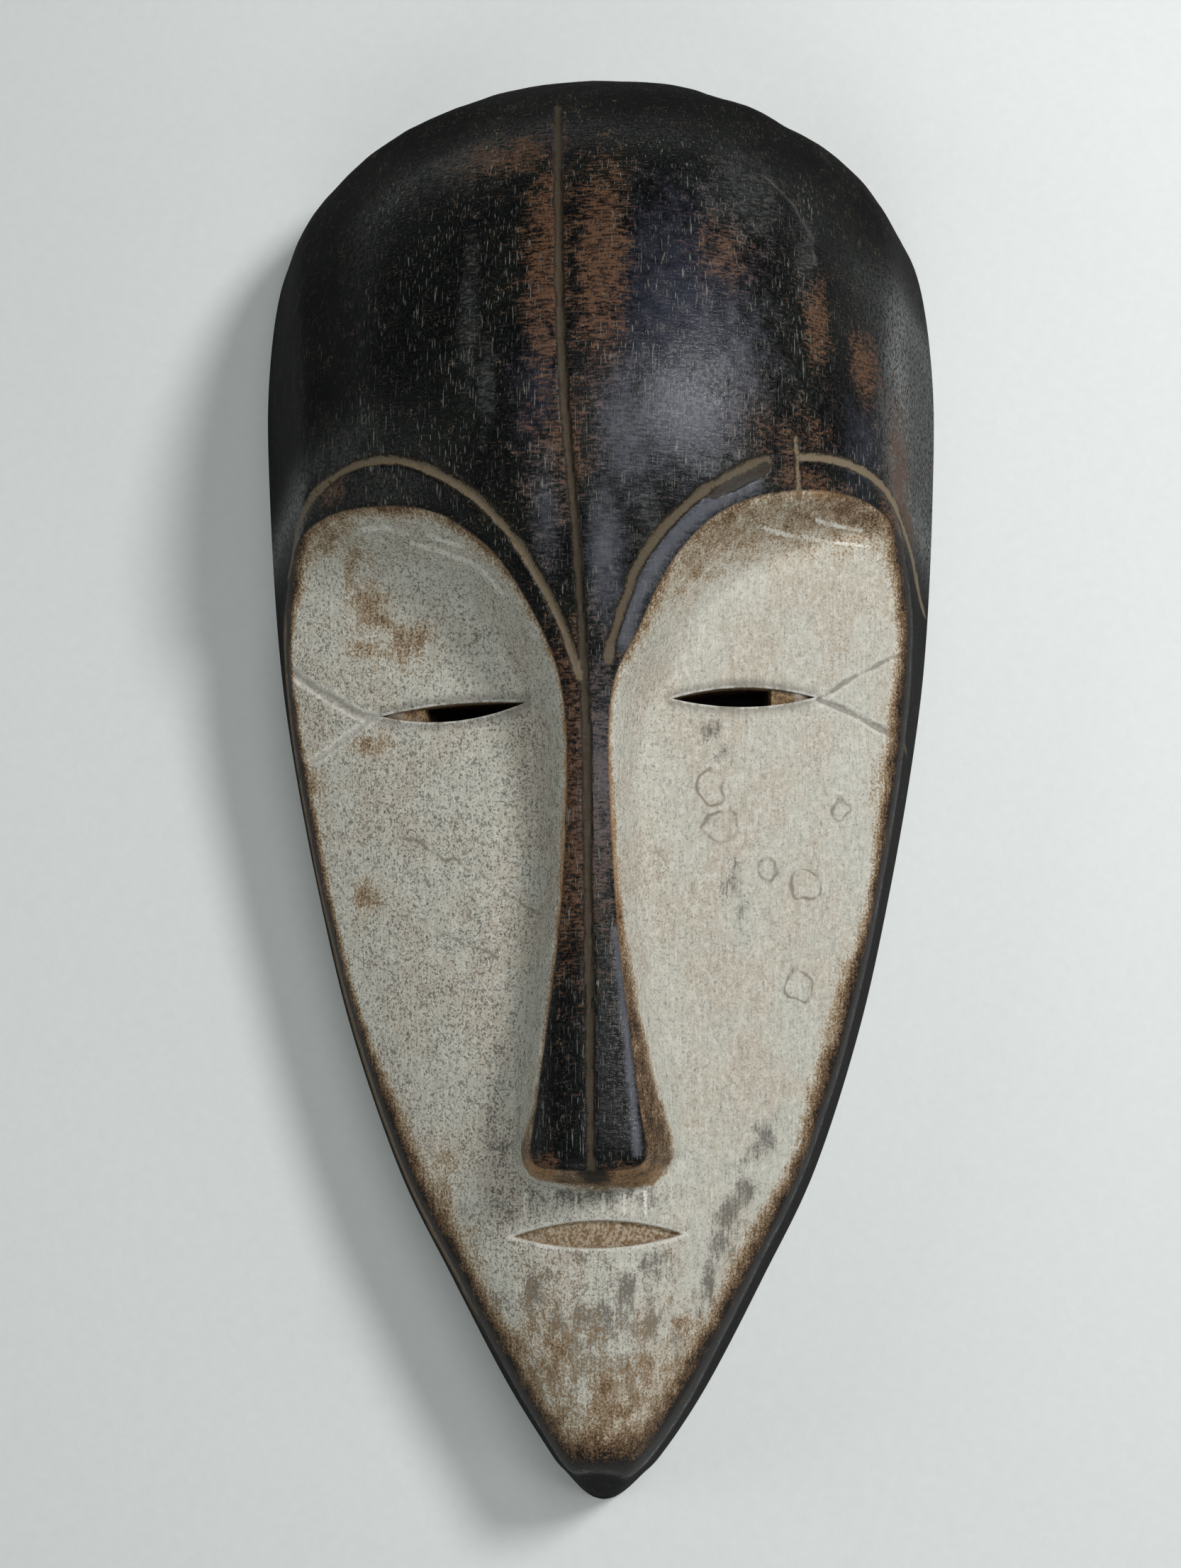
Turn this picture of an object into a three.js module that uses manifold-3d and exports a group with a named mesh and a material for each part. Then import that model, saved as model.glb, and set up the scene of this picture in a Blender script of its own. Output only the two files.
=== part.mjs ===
// A carved wooden face mask, long and narrow: a domed forehead, a thin nose, slit eyes and a pointed chin.
// It lies on its flat back rim with the face up. Units are millimetres: x to the right of the face as it is
// looked at, y towards the crown, z up from the back plane. The origin is at the middle of the back plane.
// The front and the hollow are each a height over the plan, so the solid is three triangulated sheets that
// share their edges: front, flat rim and hollow. The eye slits are then cut through.
import * as THREE from "three";
import { mergeVertices } from "three/addons/utils/BufferGeometryUtils.js";
import Module from "manifold-3d";

// Driving dimensions
const LENGTH = 344;
const WIDTH = 168;
const DEPTH = 84.5;
const CHIN = -LENGTH / 2;
const CROWN = LENGTH / 2;

// Right half of the back rim as [x, y], from the chin to the crown. The left half mirrors it.
const RIM_HALF = [
  [0, CHIN], [2.4, -171.5], [5.2, -169.7], [8.6, -166.4], [13, -161.7], [23.5, -145.9], [36.8, -121.5],
  [49.3, -97], [61.1, -63.5], [69.6, -29.5], [76.4, 4.5], [80.2, 31.5], [83, 67.5], [WIDTH / 2, 97.5],
  [81.5, 124], [75.5, 138], [65.4, 148.8], [54, 156.5], [42, 162.5], [22, 169.5], [0, CROWN],
];
// How far the carver's middle line strays to the right, as [y, x].
const RIM_LEAN = [[CHIN, 0.7], [-155, 1.5], [-100, 1.4], [-63, 0.95], [0, 0.4], [100, -0.3], [CROWN, -0.6]];
// Right half of the hollow's mouth in the back plane, as [x, y].
const HOLLOW_HALF = [
  [0, -142], [13, -130], [30, -95], [44, -50], [53.5, -5], [60, 40], [63, 80], [61.5, 110], [51, 134],
  [30, 148], [0, 152],
];

// Heights along the middle line, as [y, z]: forehead and nose, the face beside the nose, and the hollow.
const TOP_HEIGHT = [
  [CHIN, 58], [-106, 63], [-95, 63.5], [-80, 62.5], [-60, 61.5], [-40, 61.5], [-20, 63], [-5, 65.5],
  [10, 69.5], [25, 74.5], [40, 79.5], [55, 83], [70, DEPTH], [85, 83.5], [105, 79.5], [125, 71.6],
  [140, 61.8], [150, 54.2], [162, 38.4], [CROWN, 20],
];
const FACE_HEIGHT = [
  [CHIN, 32], [-150, 39], [-130, 42.5], [-110, 44], [-90, 44.5], [-60, 45.5], [-30, 47], [0, 49.5], [20, 52],
  [40, 55.5], [60, 58.5], [80, 61], [CROWN, 62],
];
const HOLLOW_HEIGHT = [
  [-142, 0], [-132, 10], [-110, 20], [-80, 27], [-40, 33], [0, 38], [20, 43], [45, 56], [70, 67], [95, 69],
  [115, 64], [132, 52], [145, 32], [152, 0],
];
// Radius of the top's cross-section, as [y, radius]: nearly a half log at the forehead, tight along the nose.
const TOP_RADIUS = [[CHIN, 36], [-20, 30], [5, 36], [28, 62], [42, WIDTH / 2], [CROWN, WIDTH / 2]];
// Where the middle of the nose and forehead runs, as [y, x].
const TOP_AXIS = [[CHIN, -0.4], [-20, -0.9], [60, -1], [110, -0.5], [145, 2.5], [CROWN, 4]];
const FACE_FALL = 19;
const HOLLOW_FULLNESS = 0.4;

// Slope of the side walls as [y, rise over run]: steep beside the cheeks, leaning in at the forehead. The
// chin ends in a small facet that leans back. Edges are rounded by a height.
const WALL_SLOPE = [[CHIN, 6.3], [-20, 6.3], [15, 5.5], [50, 3.5], [100, 3.2], [CROWN, 3.4]];
const CHIN_FACET_SLOPE = 3;
const CHIN_ROUNDING = 5;
const CHEEK_ROUNDING = 8;
const FOREHEAD_ROUNDING = 6;

// The ridge where the forehead and nose drop to the face: over the left eye, down one side of the nose, round
// its end, up the other side and over the right eye. It starts and ends outside the rim.
const RIDGE = [
  [-90, 30], [-77, 38.5], [-69, 43.6], [-63.3, 46.2], [-56.7, 47.2], [-48.8, 46.6], [-40.4, 45.2],
  [-32.4, 42.5], [-26.1, 38.4], [-20, 33], [-14.8, 25.5], [-10.3, 17.2], [-7.4, 9.8], [-5.8, 1], [-5.4, -7.9],
  [-5.6, -21.5], [-6.4, -36.6], [-7.8, -51.8], [-9.7, -66.8], [-11.7, -81.7], [-13.1, -92], [-12.5, -95.1],
  [-9.5, -96.3], [-2, -96.7], [4, -96.6], [9, -96.1], [11.2, -94.2], [11.1, -89.8], [9.8, -81.7],
  [7.9, -66.9], [6, -51.9], [4.8, -36.7], [4, -21.6], [3.6, -6.5], [4.3, 3.8], [6.3, 10.6], [10.2, 17.7],
  [14, 25.7], [17.6, 31.8], [23.1, 38.2], [29.2, 43], [36.9, 46.6], [44.8, 48.8], [53.7, 50.3], [62.3, 49.8],
  [69.5, 46.2], [77, 39.5], [90, 28],
];
// The drop below the ridge is a scoop. Its width grows with its height, and it narrows towards the nose's
// end. Towards the temples the top never falls below the face, up to where the forehead takes over.
const RIDGE_WEAR = 1.2;
const SCOOP_SHARE = 0.55;
const SCOOP_MIN = 4.5;
const SCOOP_MAX = 10.5;
const NOSE_END_SCOOP = 4.2;
const NOSE_END_TOP = -66;
const NOSE_END_FOOT = -95;
// Towards its end the nose's right side spreads into a wider foot, with a straighter slope.
const FOOT_SPREAD = 3;
const FOOT_FALL = 1.1;
const FOOT_MIDDLE = 2;
const FOOT_SIDE = 9;
const FOOT_TOP = -58;
const FOOT_BOTTOM = -86;
const FOOT_CORNER = -91;
const FOOT_END = -98;
const TEMPLE_TOP = 50;
const FOREHEAD_FOOT = 75;

// Carved lines, each with its path, full width and depth.
const GROOVES = {
  centre: {
    path: [[-7.9, 143.6], [-7.4, 130.4], [-6.7, 108.9], [-6.3, 90.7], [-5.6, 74], [-4.7, 58.6], [-2.9, 38.2],
      [-1.9, 19.7], [-1.2, 0.9], [-1, -14], [-0.8, -44.3], [-0.4, -74.4], [-0.1, -96.8]],
    width: 2.6, depth: 1.1,
  },
  left_brow: {
    path: [[-71.6, 39.5], [-69.4, 43.2], [-67.9, 47.2], [-65.6, 50.1], [-62.2, 52.9], [-57.5, 55],
      [-52.1, 56.1], [-45.2, 55.8], [-39.4, 54.3], [-32.2, 50.7], [-26, 46.4], [-21.4, 42], [-16.9, 37.1],
      [-13.1, 31.8], [-9.4, 25.2], [-6.5, 19.4], [-4.3, 13.6], [-2.4, 7.8]],
    width: 2.4, depth: 1.1,
  },
  right_brow_inner: {
    path: [[3.7, 11.1], [4.9, 16.1], [7.2, 22.6], [10.7, 31.2], [17.5, 40], [25.4, 46.8], [33.9, 52.1],
      [38, 54]],
    width: 2.6, depth: 1.1,
  },
  right_brow_outer: {
    path: [[44.8, 55.6], [49.7, 56.7], [54.6, 57], [58.8, 56.6], [63.2, 55.6], [66.8, 53.5], [70, 50.4],
      [72.6, 47.7], [75, 44]],
    width: 2.2, depth: 1,
  },
  left_crease_upper: {
    path: [[-71.9, 18.3], [-67.8, 14.6], [-63.5, 11.4], [-59.1, 8.7], [-54.8, 5.9], [-50.1, 4.3]],
    width: 2.4, depth: 1.2,
  },
  left_crease_lower: {
    path: [[-51.5, 3.6], [-56.6, 0.5], [-61.8, -2.6], [-65.3, -4.4], [-70.7, -6.4]], width: 1.8, depth: 0.6,
  },
  right_crease_upper: {
    path: [[50.5, 8.2], [53.8, 10], [58, 13], [62.1, 15.2], [66.3, 17.6], [71, 19.9]], width: 1.6, depth: 0.6,
  },
  right_crease_lower: {
    path: [[50.5, 7.9], [57.9, 5.4], [62.9, 3], [67.9, 1.3], [72.5, -0.4]], width: 2, depth: 0.8,
  },
};
const GROOVE_FADE = 5;

// Lens-shaped cuts: middle, half length, heights above and below the line between the corners, and tilt.
const LEFT_EYE = { middle: [-31.9, 5.4], halfLength: 16.7, above: 1, below: 2.9, tilt: 0.045, inner: 1 };
const RIGHT_EYE = { middle: [33.6, 7.6], halfLength: 16.2, above: 2.2, below: 2.2, tilt: 0.046, inner: -1 };
const MOUTH = { middle: [0.7, -110.7], halfLength: 19.1, above: 3.5, below: 2.8, tilt: 0.016 };
const MOUTH_DEPTH = 1.8;
const MOUTH_FLOOR = 0.75;

// An eye is cut through over its inner part. From there its floor rises to a blind outer corner.
const EYE_DEPTH = 17;
const EYE_BLIND_DEPTH = 2;
const EYE_BLIND_FROM = -0.2;
const EYE_BLIND_TO = -0.45;
const EYE_STEPS = 20;
const MOUTH_STEPS = 14;

// Spacing of the mesh points, and the rows of points beside the ridge, the rim's edge and the grooves.
const RIM_STEP = 5;
const RIDGE_STEP = 2.4;
const GROOVE_STEP = 3;
const OPEN_STEP = 7.4;
const HOLLOW_RIM_STEP = 7;
const HOLLOW_STEP = 10;
const RIDGE_ROWS = [0.1, -0.12, 0.32, 0.65, 1.05];
const EDGE_ROWS = [0.92, 1.08, 0.75, 1.3, 0.4, 1.7];
const ROW_MARGIN = 4.5;
const ALIGN_PASSES = 6;
const THINNEST = 0.1;

const clamp = THREE.MathUtils.clamp;
const lerp = THREE.MathUtils.lerp;
const ease = THREE.MathUtils.smoothstep;

// The value at y of a smooth curve through [y, value] pairs that are in order of y.
function profile(table, y) {
  const last = table.length - 1;
  const at = clamp(y, table[0][0], table[last][0]);
  let i = 0;
  while (i < last - 1 && at > table[i + 1][0]) i += 1;
  const slope = (k) => {
    const before = table[Math.max(k - 1, 0)];
    const after = table[Math.min(k + 1, last)];
    return (after[1] - before[1]) / (after[0] - before[0]);
  };
  const [y0, v0] = table[i];
  const [y1, v1] = table[i + 1];
  const h = y1 - y0;
  const t = (at - y0) / h;
  return (1 + 2 * t) * (1 - t) ** 2 * v0 + t * (1 - t) ** 2 * h * slope(i)
    + t * t * (3 - 2 * t) * v1 - t * t * (1 - t) * h * slope(i + 1);
}

// The smaller of two heights, with a rounded change from one to the other.
function smoothMin(a, b, rounding) {
  const h = clamp(0.5 + (0.5 * (b - a)) / rounding, 0, 1);
  return lerp(b, a, h) - rounding * h * (1 - h);
}

// Points about one step apart along a smooth curve through the given points.
function along(points, step) {
  const curve = new THREE.SplineCurve(points.map(([x, y]) => new THREE.Vector2(x, y)));
  return curve.getSpacedPoints(Math.max(2, Math.round(curve.getLength() / step)));
}

// A closed loop from its right half, which runs from the lowest point to the highest.
function mirroredLoop(half, step, lean = [[CHIN, 0], [CROWN, 0]]) {
  const right = along(half, step);
  const left = right.slice(1, -1).reverse().map((p) => new THREE.Vector2(-p.x, p.y));
  return [...right, ...left].map((p) => new THREE.Vector2(p.x + profile(lean, p.y), p.y));
}

// The distance from a point to a line of points, with its sign: positive to the left of the line's direction.
function signedDistance(line, x, y, closed = false) {
  let best = Infinity;
  let side = 1;
  const count = closed ? line.length : line.length - 1;
  for (let i = 0; i < count; i += 1) {
    const a = line[i];
    const b = line[(i + 1) % line.length];
    const dx = b.x - a.x;
    const dy = b.y - a.y;
    const t = clamp(((x - a.x) * dx + (y - a.y) * dy) / (dx * dx + dy * dy), 0, 1);
    const distance = Math.hypot(x - a.x - t * dx, y - a.y - t * dy);
    if (distance < best - 1e-9) {
      best = distance;
      side = dx * (y - a.y) - dy * (x - a.x) >= 0 ? 1 : -1;
    }
  }
  return best * side;
}

function insideLoop(loop, x, y) {
  let inside = false;
  loop.forEach((a, i) => {
    const b = loop[(i + 1) % loop.length];
    if (a.y > y !== b.y > y && x < a.x + ((b.x - a.x) * (y - a.y)) / (b.y - a.y)) inside = !inside;
  });
  return inside;
}

const rimLoop = mirroredLoop(RIM_HALF, RIM_STEP, RIM_LEAN);
const hollowLoop = mirroredLoop(HOLLOW_HALF, HOLLOW_RIM_STEP);
const ridgeLine = along(RIDGE, 1.5);
const grooves = Object.values(GROOVES).map((groove) => ({ ...groove, line: along(groove.path, 2) }));

const widthTable = (half) => half.map(([x, y]) => [y, x]);
const rimHalfWidth = (y) => Math.max(profile(widthTable(RIM_HALF), y), 1);
const hollowHalfWidth = (y) => Math.max(profile(widthTable(HOLLOW_HALF), y), 1);

// Position within a lens-shaped cut: 0 at its middle line, 1 at its edge, more outside.
function lensReach({ middle, halfLength, above, below, tilt }, x, y) {
  const dx = x - middle[0];
  const dy = y - middle[1] - tilt * dx;
  const bow = 1 - (dx / halfLength) ** 2;
  return bow > 0.01 ? Math.abs(dy) / ((dy > 0 ? above : below) * bow) : 9;
}

// A point of a lens-shaped ring, where the reach is 1 at the cut's edge.
function lensPoint({ middle, halfLength, above, below, tilt }, angle, reach = 1) {
  const dx = halfLength * Math.cos(angle);
  const bow = reach * Math.sin(angle) * Math.abs(Math.sin(angle));
  return new THREE.Vector2(middle[0] + dx, middle[1] + tilt * dx + bow * (bow > 0 ? above : below));
}

function topSurface(x, y) {
  const radius = profile(TOP_RADIUS, y);
  const across = Math.min(Math.abs(x - profile(TOP_AXIS, y)) / radius, 0.999);
  return profile(TOP_HEIGHT, y) - radius * (1 - Math.sqrt(1 - across * across));
}

function faceSurface(x, y) {
  const across = Math.min(Math.abs(x) / rimHalfWidth(y), 1.2);
  return profile(FACE_HEIGHT, y) - FACE_FALL * across * across;
}

// How much a place belongs to the foot at the right of the nose's end.
function footShare(x, y) {
  const above = ease(y, FOOT_BOTTOM, FOOT_TOP);
  return ease(x, FOOT_MIDDLE, FOOT_SIDE) * (1 - above) * ease(y, FOOT_END, FOOT_CORNER);
}

// The width of the scoop below the ridge.
function scoopWidth(x, y) {
  const side = clamp(SCOOP_SHARE * Math.abs(topSurface(x, y) - faceSurface(x, y)), SCOOP_MIN, SCOOP_MAX);
  const plain = lerp(NOSE_END_SCOOP, side, ease(y, NOSE_END_FOOT, NOSE_END_TOP));
  return plain + FOOT_SPREAD * footShare(x, y);
}

// How deep the carved lines and the mouth go at a point.
function carving(x, y) {
  const cuts = grooves.map(({ line, width, depth }) => {
    const across = (2 * Math.abs(signedDistance(line, x, y))) / width;
    if (across >= 1) return 0;
    const ends = [line[0], line[line.length - 1]];
    const fromEnd = Math.min(...ends.map((end) => Math.hypot(x - end.x, y - end.y)));
    return depth * (1 - across * across) * Math.min(fromEnd / GROOVE_FADE, 1);
  });
  const lips = MOUTH_DEPTH * clamp((1 - lensReach(MOUTH, x, y)) / (1 - MOUTH_FLOOR), 0, 1);
  return Math.max(...cuts, lips);
}

// The forehead, nose and face without the side walls.
function carvedSurface(x, y) {
  const face = faceSurface(x, y);
  const arch = topSurface(x, y);
  const top = lerp(Math.max(arch, face), arch, ease(y, TEMPLE_TOP, FOREHEAD_FOOT));
  const past = -signedDistance(ridgeLine, x, y) - RIDGE_WEAR;
  const worn = (past + Math.hypot(past, RIDGE_WEAR)) / 2;
  const left = clamp(1 - worn / scoopWidth(x, y), 0, 1);
  return face + (top - face) * left ** lerp(2, FOOT_FALL, footShare(x, y)) - carving(x, y);
}

function wallHeight(x, y) {
  const inset = Math.max(signedDistance(rimLoop, x, y, true), 0);
  return smoothMin(inset * profile(WALL_SLOPE, y), (y - CHIN) * CHIN_FACET_SLOPE, CHIN_ROUNDING);
}

// The front's height over the plan.
function frontHeight(x, y) {
  const rounding = lerp(CHEEK_ROUNDING, FOREHEAD_ROUNDING, ease(y, 40, 60));
  return smoothMin(carvedSurface(x, y), wallHeight(x, y), rounding);
}

// The hollow's height over the plan.
function hollowHeight(x, y) {
  const across = clamp(Math.abs(x) / hollowHalfWidth(y), 0, 1);
  return profile(HOLLOW_HEIGHT, y) * (1 - across * across) ** HOLLOW_FULLNESS;
}

// How far inside the rim the side wall meets the carved surface, from a rim point straight inwards.
function edgeInset(x, y, inward) {
  let inset = 1;
  const meets = (px, py) => wallHeight(px, py) > carvedSurface(px, py);
  while (inset < 20 && !meets(x + inset * inward.x, y + inset * inward.y)) inset += 0.25;
  return inset;
}

// Collects plan points, and leaves out a point that is too close to an earlier one.
class PointSet {
  constructor(first) {
    this.points = [...first];
  }

  add(point, gap) {
    if (this.points.every((p) => Math.hypot(p.x - point.x, p.y - point.y) > gap)) this.points.push(point);
  }

  // A row beside a line, at the offset that a function gives, where that is truly the distance to the line.
  addRow(line, offsetAt, gap, closed = false) {
    const margin = closed ? 0.8 : ROW_MARGIN;
    line.forEach((p, i) => {
      const before = line[closed ? (i + line.length - 1) % line.length : Math.max(i - 1, 0)];
      const after = line[closed ? (i + 1) % line.length : Math.min(i + 1, line.length - 1)];
      const run = Math.hypot(after.x - before.x, after.y - before.y);
      const normal = new THREE.Vector2((before.y - after.y) / run, (after.x - before.x) / run);
      const offset = offsetAt(p, normal);
      const { x, y } = p.clone().addScaledVector(normal, offset);
      if (Math.abs(signedDistance(line, x, y, closed)) < 0.93 * Math.abs(offset)) return;
      if (insideLoop(rimLoop, x, y) && signedDistance(rimLoop, x, y, true) > margin) {
        this.add(new THREE.Vector2(x, y), gap);
      }
    });
  }

  // Staggered rows over a loop's inside, jittered a little so that no four points lie on one circle.
  addField(loop, step, margin) {
    const rowStep = step * Math.sin(Math.PI / 3);
    for (let row = 0; row * rowStep < LENGTH; row += 1) {
      for (let column = 0; column * step < WIDTH + step; column += 1) {
        const jitter = 0.04 * step * Math.sin(12.9 * row + 78.2 * column);
        const x = -WIDTH / 2 + (column + (row % 2) / 2) * step + jitter;
        const y = CHIN + row * rowStep + jitter / 2;
        if (insideLoop(loop, x, y) && Math.abs(signedDistance(loop, x, y, true)) > margin) {
          this.add(new THREE.Vector2(x, y), margin);
        }
      }
    }
  }
}

function circumcircle(a, b, c) {
  const d = 2 * (a.x * (b.y - c.y) + b.x * (c.y - a.y) + c.x * (a.y - b.y));
  const [sa, sb, sc] = [a, b, c].map((p) => p.x * p.x + p.y * p.y);
  const x = (sa * (b.y - c.y) + sb * (c.y - a.y) + sc * (a.y - b.y)) / d;
  const y = (sa * (c.x - b.x) + sb * (a.x - c.x) + sc * (b.x - a.x)) / d;
  return { x, y, r2: (a.x - x) ** 2 + (a.y - y) ** 2 };
}

// Delaunay triangles over plan points, by adding one point at a time, cut to the inside of a loop.
function triangulate(points, loop) {
  const far = 20 * LENGTH;
  const all = [...points, { x: -far, y: -far }, { x: far, y: -far }, { x: 0, y: far }];
  const make = (i, j, k) => ({ corners: [i, j, k], circle: circumcircle(all[i], all[j], all[k]) });
  let triangles = [make(points.length, points.length + 1, points.length + 2)];
  points.forEach((p, index) => {
    const hit = (t) => (p.x - t.circle.x) ** 2 + (p.y - t.circle.y) ** 2 < t.circle.r2;
    const edges = new Map();
    triangles.filter(hit).forEach(({ corners }) => corners.forEach((from, n) => {
      const to = corners[(n + 1) % 3];
      if (!edges.delete(`${to},${from}`)) edges.set(`${from},${to}`, [from, to]);
    }));
    triangles = triangles.filter((t) => !hit(t));
    edges.forEach(([from, to]) => triangles.push(make(from, to, index)));
  });
  return triangles.map((t) => t.corners).filter((corners) => {
    if (corners.some((i) => i >= points.length)) return false;
    const [a, b, c] = corners.map((i) => points[i]);
    return insideLoop(loop, (a.x + b.x + c.x) / 3, (a.y + b.y + c.y) / 3);
  });
}

// Twice the signed area of a plan triangle.
function turn(a, b, c) {
  return (b.x - a.x) * (c.y - a.y) - (b.y - a.y) * (c.x - a.x);
}

// Turns shared edges to the other diagonal of their two triangles where that one lies closer to the surface.
function alignEdges(points, triangles, heights, height) {
  const misfit = (i, j) => [0.25, 0.5, 0.75].reduce((sum, t) => {
    const x = lerp(points[i].x, points[j].x, t);
    const y = lerp(points[i].y, points[j].y, t);
    return sum + Math.abs(height(x, y) - lerp(heights[i], heights[j], t));
  }, 0);
  const known = new Map();
  const misfitOnce = (i, j) => {
    const key = i < j ? `${i},${j}` : `${j},${i}`;
    if (!known.has(key)) known.set(key, misfit(i, j));
    return known.get(key);
  };
  const sound = (a, b, c) => {
    const longest = Math.max(a.distanceTo(b), b.distanceTo(c), c.distanceTo(a));
    return turn(a, b, c) > THINNEST * longest * longest;
  };
  for (let pass = 0; pass < ALIGN_PASSES; pass += 1) {
    const owners = new Map();
    const changed = new Set();
    triangles.forEach((corners, t) => corners.forEach((from, n) => {
      owners.set(`${from},${corners[(n + 1) % 3]}`, [t, corners[(n + 2) % 3]]);
    }));
    owners.forEach(([first, c], key) => {
      const [a, b] = key.split(",").map(Number);
      const twin = owners.get(`${b},${a}`);
      if (a > b || !twin) return;
      const [second, d] = twin;
      if (changed.has(first) || changed.has(second)) return;
      if (!sound(points[a], points[d], points[c]) || !sound(points[d], points[b], points[c])) return;
      if (misfitOnce(c, d) < misfitOnce(a, b) - 0.02) {
        triangles[first] = [a, d, c];
        triangles[second] = [d, b, c];
        changed.add(first).add(second);
      }
    });
  }
}

// Appends triangles to a list of coordinates, each plan point at its given height.
function addSheet(positions, points, triangles, heights, facesUp) {
  triangles.forEach(([i, j, k]) => {
    const turnsLeft = turn(points[i], points[j], points[k]) > 0;
    const ordered = turnsLeft === facesUp ? [i, j, k] : [i, k, j];
    ordered.forEach((n) => positions.push(points[n].x, points[n].y, heights[n]));
  });
}

function frontPoints() {
  const set = new PointSet(rimLoop);
  [1, MOUTH_FLOOR].forEach((reach) => {
    for (let i = 0; i < 2 * MOUTH_STEPS; i += 1) {
      set.add(lensPoint(MOUTH, (Math.PI * i) / MOUTH_STEPS, reach), 0.3);
    }
  });
  const ridge = along(RIDGE, RIDGE_STEP);
  RIDGE_ROWS.forEach((share) => set.addRow(ridge, (p) => -share * scoopWidth(p.x, p.y), RIDGE_STEP * 0.4));
  EDGE_ROWS.forEach((share) => {
    set.addRow(rimLoop, (p, inward) => share * edgeInset(p.x, p.y, inward), RIM_STEP * 0.3, true);
  });
  Object.values(GROOVES).forEach(({ path, width }) => {
    const line = along(path, GROOVE_STEP);
    [0, 0.5, -0.5].forEach((share) => set.addRow(line, () => share * width, width * 0.4));
  });
  set.addField(rimLoop, OPEN_STEP, OPEN_STEP * 0.5);
  return set.points;
}

function hollowPoints() {
  const set = new PointSet(hollowLoop);
  hollowLoop.forEach((p) => set.add(new THREE.Vector2(p.x * 0.95, 5 + (p.y - 5) * 0.97), 2));
  set.addField(hollowLoop, HOLLOW_STEP, HOLLOW_STEP * 0.5);
  return set.points;
}

function geometryOf(positions) {
  return new THREE.BufferGeometry().setAttribute("position", new THREE.Float32BufferAttribute(positions, 3));
}

// The whole shell as one closed mesh: front, flat rim and hollow.
function shellGeometry() {
  const positions = [];
  const addCurved = (points, loop, height, facesUp) => {
    const onLoop = new Set(loop);
    const heights = points.map((p) => (onLoop.has(p) ? 0 : height(p.x, p.y)));
    const triangles = triangulate(points, loop);
    alignEdges(points, triangles, heights, height);
    addSheet(positions, points, triangles, heights, facesUp);
  };
  addCurved(frontPoints(), rimLoop, frontHeight, true);
  addCurved(hollowPoints(), hollowLoop, hollowHeight, false);
  const rims = [...rimLoop, ...hollowLoop];
  const flat = THREE.ShapeUtils.triangulateShape(rimLoop, [hollowLoop]);
  addSheet(positions, rims, flat, rims.map(() => 0), false);
  return geometryOf(positions);
}

// A lens-shaped plug for one eye, closed all round, with its lid above the whole mask.
function eyePlugGeometry(eye) {
  const loop = Array.from({ length: 2 * EYE_STEPS }, (_, i) => lensPoint(eye, (Math.PI * i) / EYE_STEPS));
  const floor = ({ x, y }) => {
    const reach = (eye.inner * (x - eye.middle[0])) / eye.halfLength;
    const open = ease(reach, EYE_BLIND_TO, EYE_BLIND_FROM);
    return faceSurface(x, y) - lerp(EYE_BLIND_DEPTH, EYE_DEPTH, open);
  };
  const positions = [];
  const count = loop.length;
  const addCorner = (p, z) => positions.push(p.x, p.y, z);
  loop.forEach((a, i) => {
    const b = loop[(i + 1) % count];
    const across = loop[(count - i - 1) % count];
    const next = loop[(count - i) % count];
    [[a, floor(a)], [b, floor(b)], [b, DEPTH], [a, floor(a)], [b, DEPTH], [a, DEPTH]].forEach(([p, z]) => {
      addCorner(p, z);
    });
    if (i < EYE_STEPS) {
      [[a, b, across], [a, across, next]].forEach(([p, q, r]) => {
        [p, q, r].forEach((corner) => addCorner(corner, DEPTH));
        [p, r, q].forEach((corner) => addCorner(corner, floor(corner)));
      });
    }
  });
  return geometryOf(positions);
}

const wasm = await Module();
wasm.setup();

function solidFrom(geometry) {
  const merged = mergeVertices(geometry, 1e-4);
  const index = merged.index.array;
  const triVerts = [];
  for (let i = 0; i < index.length; i += 3) {
    const corners = [index[i], index[i + 1], index[i + 2]];
    if (new Set(corners).size === 3) triVerts.push(...corners);
  }
  return new wasm.Manifold(new wasm.Mesh({
    numProp: 3,
    vertProperties: merged.attributes.position.array,
    triVerts: new Uint32Array(triVerts),
  }));
}

function geometryFrom(solid) {
  const { vertProperties, triVerts } = solid.getMesh();
  const geometry = new THREE.BufferGeometry();
  geometry.setAttribute("position", new THREE.BufferAttribute(vertProperties, 3));
  geometry.setIndex(new THREE.BufferAttribute(triVerts, 1));
  return geometry;
}

const carved = [LEFT_EYE, RIGHT_EYE].reduce(
  (solid, eye) => solid.subtract(solidFrom(eyePlugGeometry(eye))),
  solidFrom(shellGeometry()),
);

const wood = new THREE.MeshStandardMaterial({ color: 0x2b221c, roughness: 0.5, metalness: 0 });
const mask = new THREE.Mesh(geometryFrom(carved), wood);
mask.name = "mask";

const group = new THREE.Group();
group.add(mask);
export default group;
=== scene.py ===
import math
from functools import partialmethod

import bpy
import numpy as np
from mathutils import Matrix, Vector
from mathutils.geometry import delaunay_2d_cdt


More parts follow.
